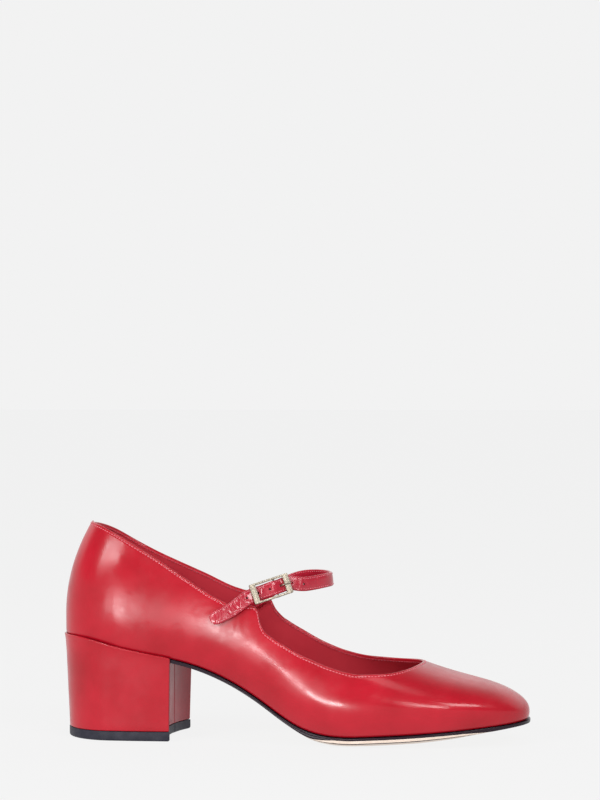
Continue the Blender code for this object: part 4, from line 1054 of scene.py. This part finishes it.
def dress_outsole():
    side_count, toe_count, back_count = OUTSOLE_RIBS
    stations = side_stations(HEEL_LENGTH / LENGTH, TOE_CENTRE, side_count)
    ribs = last_ribs(stations, toe_count, back_count)
    _, _, edge, _ = feather_reach(ribs)
    outline = edge + FIT_GAP

    def upper_face(x, y, share):
        return feather(x) - FIT_GAP / 2 - dish(y, BALL_WIDTH / 2, 1 - share ** 2) * CROWN(x / LENGTH)

    def lower_face(x, y, share):
        hang = SOLE_CROWN * CROWN(x / LENGTH) * (1 - share ** 3)
        return np.maximum(feather(x) - FIT_GAP - SOLE_EDGE * EDGE(x / LENGTH) - hang, 0.0)

    x = ribs[:, 0:1] + outline * ribs[:, 1:2]
    low, high = lower_face(x, 0, 1.0), upper_face(x, 0, 1.0)
    shown = np.clip((x - BARE_START) / BARE_FADE, 0, 1) * np.clip((BARE_END - x) / BARE_FADE, 0, 1)
    bare = np.clip((high - low - BLACK_EDGE) * BARE_GROWTH, BARE_LEAST, None) * shown
    border = low + bare
    sides = []
    for rows, start, height in ((BARE_ROWS, low, bare), (DYED_ROWS, border, high - border)):
        sides += [(outline + EDGE_SWELL * swell, start + height * up) for up, swell in rows]
    sides.append((outline - EDGE_SWELL, None))
    points, faces, ring_of = plate(ribs, OUTSOLE_SHARES, outline - EDGE_INSET, lower_face, upper_face,
                                   sides, False)
    fade = np.clip(1 - (points[:, 0] - HEEL_LENGTH) / (RUN_OUT * (stations[-1] - HEEL_LENGTH)), 0, 1)
    points[:, 0] += (breast_line(points[:, 1]) + FIT_GAP - HEEL_LENGTH) * fade
    first = len(OUTSOLE_SHARES)
    # Black faces: the dyed edge, and the lowest ring of the bare band as a painted contact shadow under the
    # beige.
    black = (ring_of < 0) | (ring_of >= first + len(BARE_ROWS) - 1) | (ring_of == first)
    piece("sole_leather_layer", points, faces, [BEIGE, DYE_AND_SHADE_BLACK], black, "outsole", 40)


class HeelPlan:
    """Reach of the heel's rim round the plan, worked out once."""

    def __init__(self):
        self.stations = np.linspace(HEEL_CENTRE * LENGTH, HEEL_LENGTH + HEEL_REACH, 40)
        self.angles = [-math.pi * (k / 64 + 0.5) for k in range(1, 64)]
        rows = {side: np.array([(x, 0.0, side) for x in self.stations]) for side in (-1.0, 1.0)}
        self.sides = {side: heel_outline(rows[side], 0.0)[:, 0] for side in rows}
        rows = np.array([(HEEL_CENTRE * LENGTH, math.cos(a), math.sin(a)) for a in self.angles])
        self.back = heel_outline(rows, 0.0)[:, 0]

    def side(self, x, side, narrowing):
        return np.interp(x, self.stations, self.sides[side]) - narrowing * SIDE_TAPER

    def end(self, side, narrowing, inset):
        """Corner between one side and the breast."""
        x = HEEL_LENGTH
        for _ in range(20):
            y = float(self.side(x, side, narrowing)) - inset
            x = float(breast_line(side * y)) - inset
        return x, side * y

    def loop(self, narrowing, inset):
        """Lateral side, back, medial side, then the hollow breast, and where the breast starts."""
        first, last = self.end(-1.0, narrowing, inset), self.end(1.0, narrowing, inset)
        centre = HEEL_CENTRE * LENGTH
        outside = [(x, -(self.side(x, -1.0, narrowing) - inset))
                   for x in np.linspace(first[0] - HEEL_CORNER, centre, 24)]
        for angle, rim in zip(self.angles, self.back):
            ahead, across = math.cos(angle), math.sin(angle)
            reach = rim - inset - narrowing * (BACK_TAPER * ahead ** 2 + SIDE_TAPER * across ** 2)
            outside.append((centre + reach * ahead, reach * across))
        outside += [(x, self.side(x, 1.0, narrowing) - inset)
                    for x in np.linspace(centre, last[0] - HEEL_CORNER, 24)]
        ys = np.concatenate([np.linspace(first[1] + HEEL_CORNER, last[1] - HEEL_CORNER, 40),
                             BREAST_SEAM + np.linspace(-SEAM_HALF, SEAM_HALF, 11)])
        ys = np.unique(ys)[::-1]
        lap = LAP[0] / (1 + np.exp((ys - BREAST_SEAM) / LAP[1]))
        inside = list(zip(breast_line(ys) - inset - lap, ys))

        def corner(a, b, c):
            a, b, c = np.array(a), np.array(b), np.array(c)
            return [tuple((1 - t) ** 2 * a + 2 * t * (1 - t) * b + t * t * c) for t in (0.2, 0.4, 0.6, 0.8)]

        medial, lateral = corner(outside[-1], last, inside[0]), corner(inside[-1], first, outside[0])
        return np.array(outside + medial + inside + lateral), len(outside)


def dress_heel(plan):
    edge = HEEL_EDGE
    levels = [(0.0, HEEL_LIP, -HEEL_RIM - FIT_GAP), (0.0, HEEL_LIP, 0.0), (0.0, edge, 0.0),
              (0.0, 0.3 * edge, -0.3 * edge), (0.0, 0.0, -edge)]
    levels += [(down, 0.0, 0.0) for down in HEEL_LEVELS]
    levels += [(1.0, 0.0, edge), (1.0, 0.3 * edge, 0.3 * edge), (1.0, edge, 0.0), (1.0, HEEL_FACE, 0.0)]
    narrowing = steady(*np.array(HEEL_RINGS).T)
    rings = []
    for down, inset, lift in levels:
        loop, outer = plan.loop(float(narrowing(down)), inset)
        rim = feather(loop[:, 0]) + HEEL_RIM
        seat = feather(loop[:, 0]) - FIT_GAP
        order = np.arange(len(loop))
        past = np.minimum(order - outer, len(loop) - order) / 10
        rim = np.where(order < outer, rim, rim + (seat - rim) * np.clip(past, 0, 1))
        rings.append(np.column_stack([loop, rim + (TOP_PIECE_HEIGHT - rim) * down + lift]))
    count = len(rings[0])
    # Faces round the breast take the darker red, a painted shade.
    breast = np.append(np.tile(order >= outer + 4, len(rings) - 1), (False, False))
    piece("heel_cover", np.concatenate(rings), tube(len(rings), count), [RED, SHADED_BREAST_RED], breast, "heel")


def dress_top_piece(plan):
    size, top = TOP_PIECE_ROUND, TOP_PIECE_HEIGHT - FIT_GAP / 2
    levels = [(0.0, TOP_PIECE_FACE), (0.0, size)]
    for turn in np.radians((15, 30, 45, 60, 75, 90)):
        levels.append((size * (1 - math.cos(turn)), size * (1 - math.sin(turn))))
    levels += [(top - 0.0003, 0.0), (top - 0.00008, 0.00008), (top, 0.0003), (top, TOP_PIECE_FACE)]
    rings = []
    for z, inset in levels:
        loop, _ = plan.loop(1.0, inset - TOP_PIECE_PROUD)
        rings.append(np.column_stack([loop, np.full(len(loop), z)]))
    piece("top_piece_rubber_lift", np.concatenate(rings), tube(len(rings), len(loop)), [RUBBER], None,
          "top_piece")


# Strap

def strap_section(half):
    """Cross section of the strap: places across and heights, from the outer face round the inner."""
    deep = STRAP_THICKNESS / 2
    share = np.array([-s for s in STRAP_SHARES[:0:-1]] + list(STRAP_SHARES))
    across = share * half
    seam = bell(np.abs(across) - (half - STRAP_INSET), STRAP_GROOVE[0])
    edge = 1 - 0.75 * np.abs(share) ** 14
    puff = STRAP_PUFF * np.clip(1 - np.abs(share) ** 4, 0, 1)
    face = deep * edge + puff - STRAP_GROOVE[1] * seam
    back = -(deep * edge) + STRAP_GROOVE[2] * seam
    return (np.concatenate([across, across[::-1]]), np.concatenate([face, back[::-1]]),
            np.repeat((1, -1), len(share)))


def wrinkle(s, across):
    """Depth of the tail's crosswise wrinkles at a distance from the tip."""
    depth = np.zeros_like(across)
    for at, wide, deep, slant_way in WRINKLE_ROWS:
        v = s - at - slant_way * across + WOBBLE[0] * np.sin(across * WOBBLE[1] + at * WOBBLE[2])
        depth += deep * (bell(v, wide) - WRINKLE_RIDGE * bell(v - 1.6 * wide, wide))
    return depth


def strap_surface(path, s, across, face):
    """Point on the strap's outer (1) or inner (-1) face and the direction out of it."""
    _, cross, out = path.axes(s)
    lift = strap_bulge(s - path.buckle_at) + face * (STRAP_THICKNESS / 2 + (STRAP_PUFF if face > 0 else 0))
    return path.place(s) + cross * across + out * (lift - face * THREAD_SINK), out * face


def turned(along, cross, out):
    """Matrix that turns world axes to the strap's own."""
    return Matrix((Vector(along), Vector(cross), Vector(out))).transposed().to_4x4()


def punch_holes(strap, path):
    """Cuts the strap's row of round holes and drops the points that the cut leaves on straight edges."""
    holes = bmesh.new()
    for k in HOLES:
        offset = PRONG_HOLE + HOLE_PITCH * k
        along, cross, out = path.axes(path.buckle_at + offset)
        place = path.place(path.buckle_at + offset) + out * strap_bulge(offset) + SHIFT
        size = USED_HOLE_RADIUS if k == 0 else SPARE_HOLE_RADIUS
        matrix = Matrix.Translation(Vector(place)) @ turned(along, cross, out)
        bmesh.ops.create_cone(holes, cap_ends=True, segments=HOLE_SIDES, radius1=size, radius2=size,
                              depth=4 * STRAP_THICKNESS, matrix=matrix)
    data = bpy.data.meshes.new("punch")
    holes.to_mesh(data)
    holes.free()
    data.materials.append(DARK)
    punch = placed("punch", data)
    cut = strap.modifiers.new("holes", "BOOLEAN")
    cut.operation = "DIFFERENCE"
    cut.solver = "EXACT"
    cut.material_mode = "TRANSFER"
    cut.object = punch
    bpy.context.view_layer.update()
    evaluated = strap.evaluated_get(bpy.context.evaluated_depsgraph_get())
    final = bpy.data.meshes.new_from_object(evaluated)
    work = bmesh.new()
    work.from_mesh(final)
    bmesh.ops.dissolve_verts(work, verts=[v for v in work.verts if len(v.link_edges) == 2])
    work.to_mesh(final)
    work.free()
    strap.modifiers.clear()
    strap.data = final
    bpy.data.objects.remove(punch)


def dress_strap(path):
    radius = STRAP_WIDTH / 2
    near = [radius * (1 - math.cos(math.radians(a))) for a in range(6, 90, 6)]
    stops = near + [s for s in np.arange(0, path.length, STRAP_PITCH) if s > radius] + [path.length]
    rows = []
    for s in stops:
        _, cross, out = path.axes(s)
        half = radius * math.sqrt(1 - max(0.0, 1 - s / radius) ** 2)
        across, height, face = strap_section(half)
        height = height - np.where(face > 0, wrinkle(s, across), 0.4 * wrinkle(s, across))
        middle = path.place(s) + out * strap_bulge(s - path.buckle_at)
        rows.append(middle + across[:, None] * cross + height[:, None] * out)
    strap = piece("strap_leather", np.concatenate(rows), tube(len(rows), len(rows[0])),
                  [STRAP_RED, DARK], None, "strap")
    punch_holes(strap, path)
    turn_radius = radius - STRAP_INSET
    end = path.length - ROOT_BARE
    track = [(s, turn_radius) for s in np.arange(end, radius, -THREAD_STEP)]
    track += [(radius - turn_radius * math.sin(a), turn_radius * math.cos(a))
              for a in np.linspace(0, math.pi, 13)]
    track += [(s, -turn_radius) for s in np.arange(radius, end, THREAD_STEP)]
    for face, name in ((1, "strap_stitches_outer"), (-1, "strap_stitches_inner")):
        line, up = (np.array(part) for part in zip(*(strap_surface(path, s, y, face) for s, y in track)))
        stitches(name, line, up, False, STITCH, STRAP_STITCH_SIZES)


# Buckle

def in_buckle(path, points):
    """Points in the buckle's own axes, brought to the last's frame."""
    return path.place(path.buckle_at) + np.asarray(points) @ np.array(path.axes(path.buckle_at))


def round_rectangle(half_long, half_wide, radius, z, steps=6):
    """Level ring of points with rounded corners."""
    points = []
    for corner, (sx, sy) in enumerate(((1, 1), (-1, 1), (-1, -1), (1, -1))):
        for k in range(steps + 1):
            angle = math.radians(90 * corner + 90 * k / steps)
            points.append((sx * (half_long - radius) + radius * math.cos(angle),
                           sy * (half_wide - radius) + radius * math.sin(angle), z))
    return np.array(points)


def dress_buckle(path):
    under, over, hinge = buckle_levels()
    half_long, half_wide = BUCKLE_LENGTH / 2, BUCKLE_WIDTH / 2
    bevel, third = METAL_BEVEL, 0.3 * METAL_BEVEL
    outer = ((0.0, under + bevel), (0.0, over - bevel), (third, over - third), (bevel, over))
    inner = ((bevel, over), (third, over - third), (0.0, over - bevel), (0.0, under + bevel),
             (third, under + third), (bevel, under))

    def outside(inset, z):
        return round_rectangle(half_long - inset, half_wide - inset, METAL_CORNER - 0.6 * inset, z)

    rings = [outside(inset, z) for inset, z in outer]
    rings += [round_rectangle(half_long - BUCKLE_BAR + inset, half_wide - BUCKLE_RAIL + inset,
                              WINDOW_CORNER + 0.4 * inset, z) for inset, z in inner]
    rings += [outside(inset, z) for inset, z in ((bevel, under), (third, under + third))]
    faces = tube(len(rings), len(rings[0]), closed=True)
    points = np.concatenate(rings).tolist()
    faces += tube(2, METAL_SPOKES, len(points))
    for y in (-half_wide + 0.0001, half_wide - 0.0001):
        for a in np.arange(METAL_SPOKES) * 2 * math.pi / METAL_SPOKES:
            points.append((HINGE_AHEAD + HINGE_RADIUS * math.cos(a), y, hinge + HINGE_RADIUS * math.sin(a)))
    for side in (-1, 1):
        ends = [(HINGE_AHEAD + way * HINGE_LUG / 2, side * (half_wide - BUCKLE_RAIL * share), z)
                for way, share, z in ((-1, 0.95, hinge - HINGE_RADIUS * 1.15),
                                      (1, 0.1, under + BUCKLE_DEPTH / 3))]
        base = len(points)
        points += [(x, y, z) for x in (ends[0][0], ends[1][0]) for y in (ends[0][1], ends[1][1])
                   for z in (ends[0][2], ends[1][2])]
        for quad in ((0, 1, 3, 2), (4, 6, 7, 5), (0, 4, 5, 1), (2, 3, 7, 6), (0, 2, 6, 4), (1, 5, 7, 3)):
            faces.append([base + q for q in quad])
    piece("buckle_metal", in_buckle(path, points), faces, [GOLD], None, "buckle_frame", 35)


def dress_prong(path):
    _, over, hinge = buckle_levels()
    swing = HINGE_RADIUS + FIT_GAP + PRONG_RADIUS
    hook = [(HINGE_AHEAD + swing * math.cos(a), hinge + swing * math.sin(a))
            for a in np.radians(range(200, 341, 10))]
    rest = over + FIT_GAP + PRONG_RADIUS
    low = hook[-1][1]
    slack = USED_HOLE_RADIUS - PRONG_RADIUS
    rise = [(PRONG_HOLE + slack * ahead, low + (rest - low) * share) for ahead, share in PRONG_ROWS]
    bar = BUCKLE_LENGTH / 2 - BUCKLE_BAR / 2
    tip = [(bar, rest), (bar + 0.62 * BUCKLE_BAR, rest - PRONG_RADIUS / 4)]
    line = np.array(hook + rise + tip)
    run = length_along(line)
    curve_x, curve_z = flowing(run, line[:, 0]), flowing(run, line[:, 1])
    points = []
    for s in np.linspace(0, run[-1], PRONG_STEPS):
        x, z = float(curve_x(s)), float(curve_z(s))
        dx, dz = unit(np.array([curve(s + 1e-5) - curve(s - 1e-5) for curve in (curve_x, curve_z)]))
        end = min(s, run[-1] - s) / PRONG_RADIUS
        thick = PRONG_RADIUS * math.sqrt(max(0.02, 1 - max(0.0, 1 - end) ** 2))
        for a in np.arange(METAL_SPOKES) * 2 * math.pi / METAL_SPOKES:
            points.append((x - dz * thick * math.sin(a), thick * math.cos(a), z + dx * thick * math.sin(a)))
    piece("prong_metal", in_buckle(path, points), tube(PRONG_STEPS, METAL_SPOKES), [GOLD], None, "prong")


# Light, floor and camera

def sky():
    """Studio walls: pale all round at eye level and high behind the shoe, dimmer over the front."""
    world = bpy.data.worlds.new("studio")
    bpy.context.scene.world = world
    world.use_nodes = True
    tree = world.node_tree
    split = add(tree, "SeparateXYZ")
    tree.links.new(add(tree, "TexCoord").outputs["Generated"], split.inputs["Vector"])

    def smooth(axis, low, high, start, end):
        made = add(tree, "MapRange", From_Min=low, From_Max=high, To_Min=start, To_Max=end)
        made.interpolation_type = "SMOOTHSTEP"
        tree.links.new(split.outputs[axis], made.inputs["Value"])
        return made.outputs["Result"]

    def maths(kind, a, b):
        made = add(tree, "Math")
        made.operation = kind
        tree.links.new(a, made.inputs[0])
        tree.links.new(b, made.inputs[1])
        return made.outputs["Value"]

    front = smooth("Z", 0.14, 0.26, 1.0, FRONT_LEVEL)
    behind = maths("MULTIPLY", smooth("Z", 0.55, 0.90, 1.0, FRONT_LEVEL), smooth("Y", 0.05, 0.45, 0.0, 1.0))
    behind = maths("MULTIPLY", behind, smooth("Z", 0.19, 0.36, 1.0, BACK_LEVEL))
    background = fill(tree.nodes["Background"], Color=(*grey(WALL), 1.0))
    tree.links.new(maths("MAXIMUM", front, behind), background.inputs["Strength"])


def area(name, turn, rise, distance, size_x, size_y, power, aim):
    """Soft lamp at an angle from the front, positive to the toe, and an angle over the floor."""
    lamp = bpy.data.lights.new(name, "AREA")
    lamp.shape = "RECTANGLE"
    lamp.size, lamp.size_y = size_x, size_y
    lamp.energy = power
    obj = placed(name, lamp)
    turn, rise = math.radians(turn), math.radians(rise)
    way = Vector((math.sin(turn) * math.cos(rise), -math.cos(turn) * math.cos(rise), math.sin(rise)))
    obj.location = Vector(aim) + way * distance
    obj.rotation_euler = (-way).to_track_quat("-Z", "Y").to_euler()
    obj.visible_camera = False


def stage_and_light():
    """Pale floor that glows a little, the walls and the lamps."""
    bpy.context.scene.view_settings.view_transform = "Standard"
    sky()
    made, _, shader = shader_of("paper", grey(PAPER_SHADE), 0.9, specular=0.0)
    fill(shader, Emission_Color=(1.0, 1.0, 1.0, 1.0), Emission_Strength=PAPER_GLOW)
    data = bpy.data.meshes.new("floor")
    corners = [(PAPER_HALF * x, PAPER_HALF * y, 0) for x, y in ((-1, -1), (1, -1), (1, 1), (-1, 1))]
    data.from_pydata(corners, [], [(0, 1, 2, 3)])
    data.materials.append(made)
    floor = placed("floor", data)
    for row in LAMP_ROWS:
        area(*row)


def make_camera():
    """The photo's own view: level, a little toward the toe."""
    angle = math.radians(CAMERA_TURN)
    target = Vector((CAMERA_AIM + SHIFT[0], 0.0, CAMERA_HEIGHT))
    camera = placed("camera", bpy.data.cameras.new("camera"))
    camera.data.sensor_width = SENSOR
    camera.data.lens = LENS_PIXELS * SENSOR / PICTURE_HEIGHT
    camera.location = target + Vector((math.sin(angle), -math.cos(angle), 0)) * CAMERA_DISTANCE
    camera.rotation_euler = (target - camera.location).to_track_quat("-Z", "Y").to_euler()
    bpy.context.scene.camera = camera


make_camera()
stage_and_light()
PATH, PLAN = StrapPath(), HeelPlan()
dress_upper()
dress_insole()
dress_outsole()
dress_heel(PLAN)
dress_top_piece(PLAN)
dress_strap(PATH)
dress_buckle(PATH)
dress_prong(PATH)
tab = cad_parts["buckle_tab"]
tab.data.materials.clear()
tab.data.materials.append(STRAP_RED)
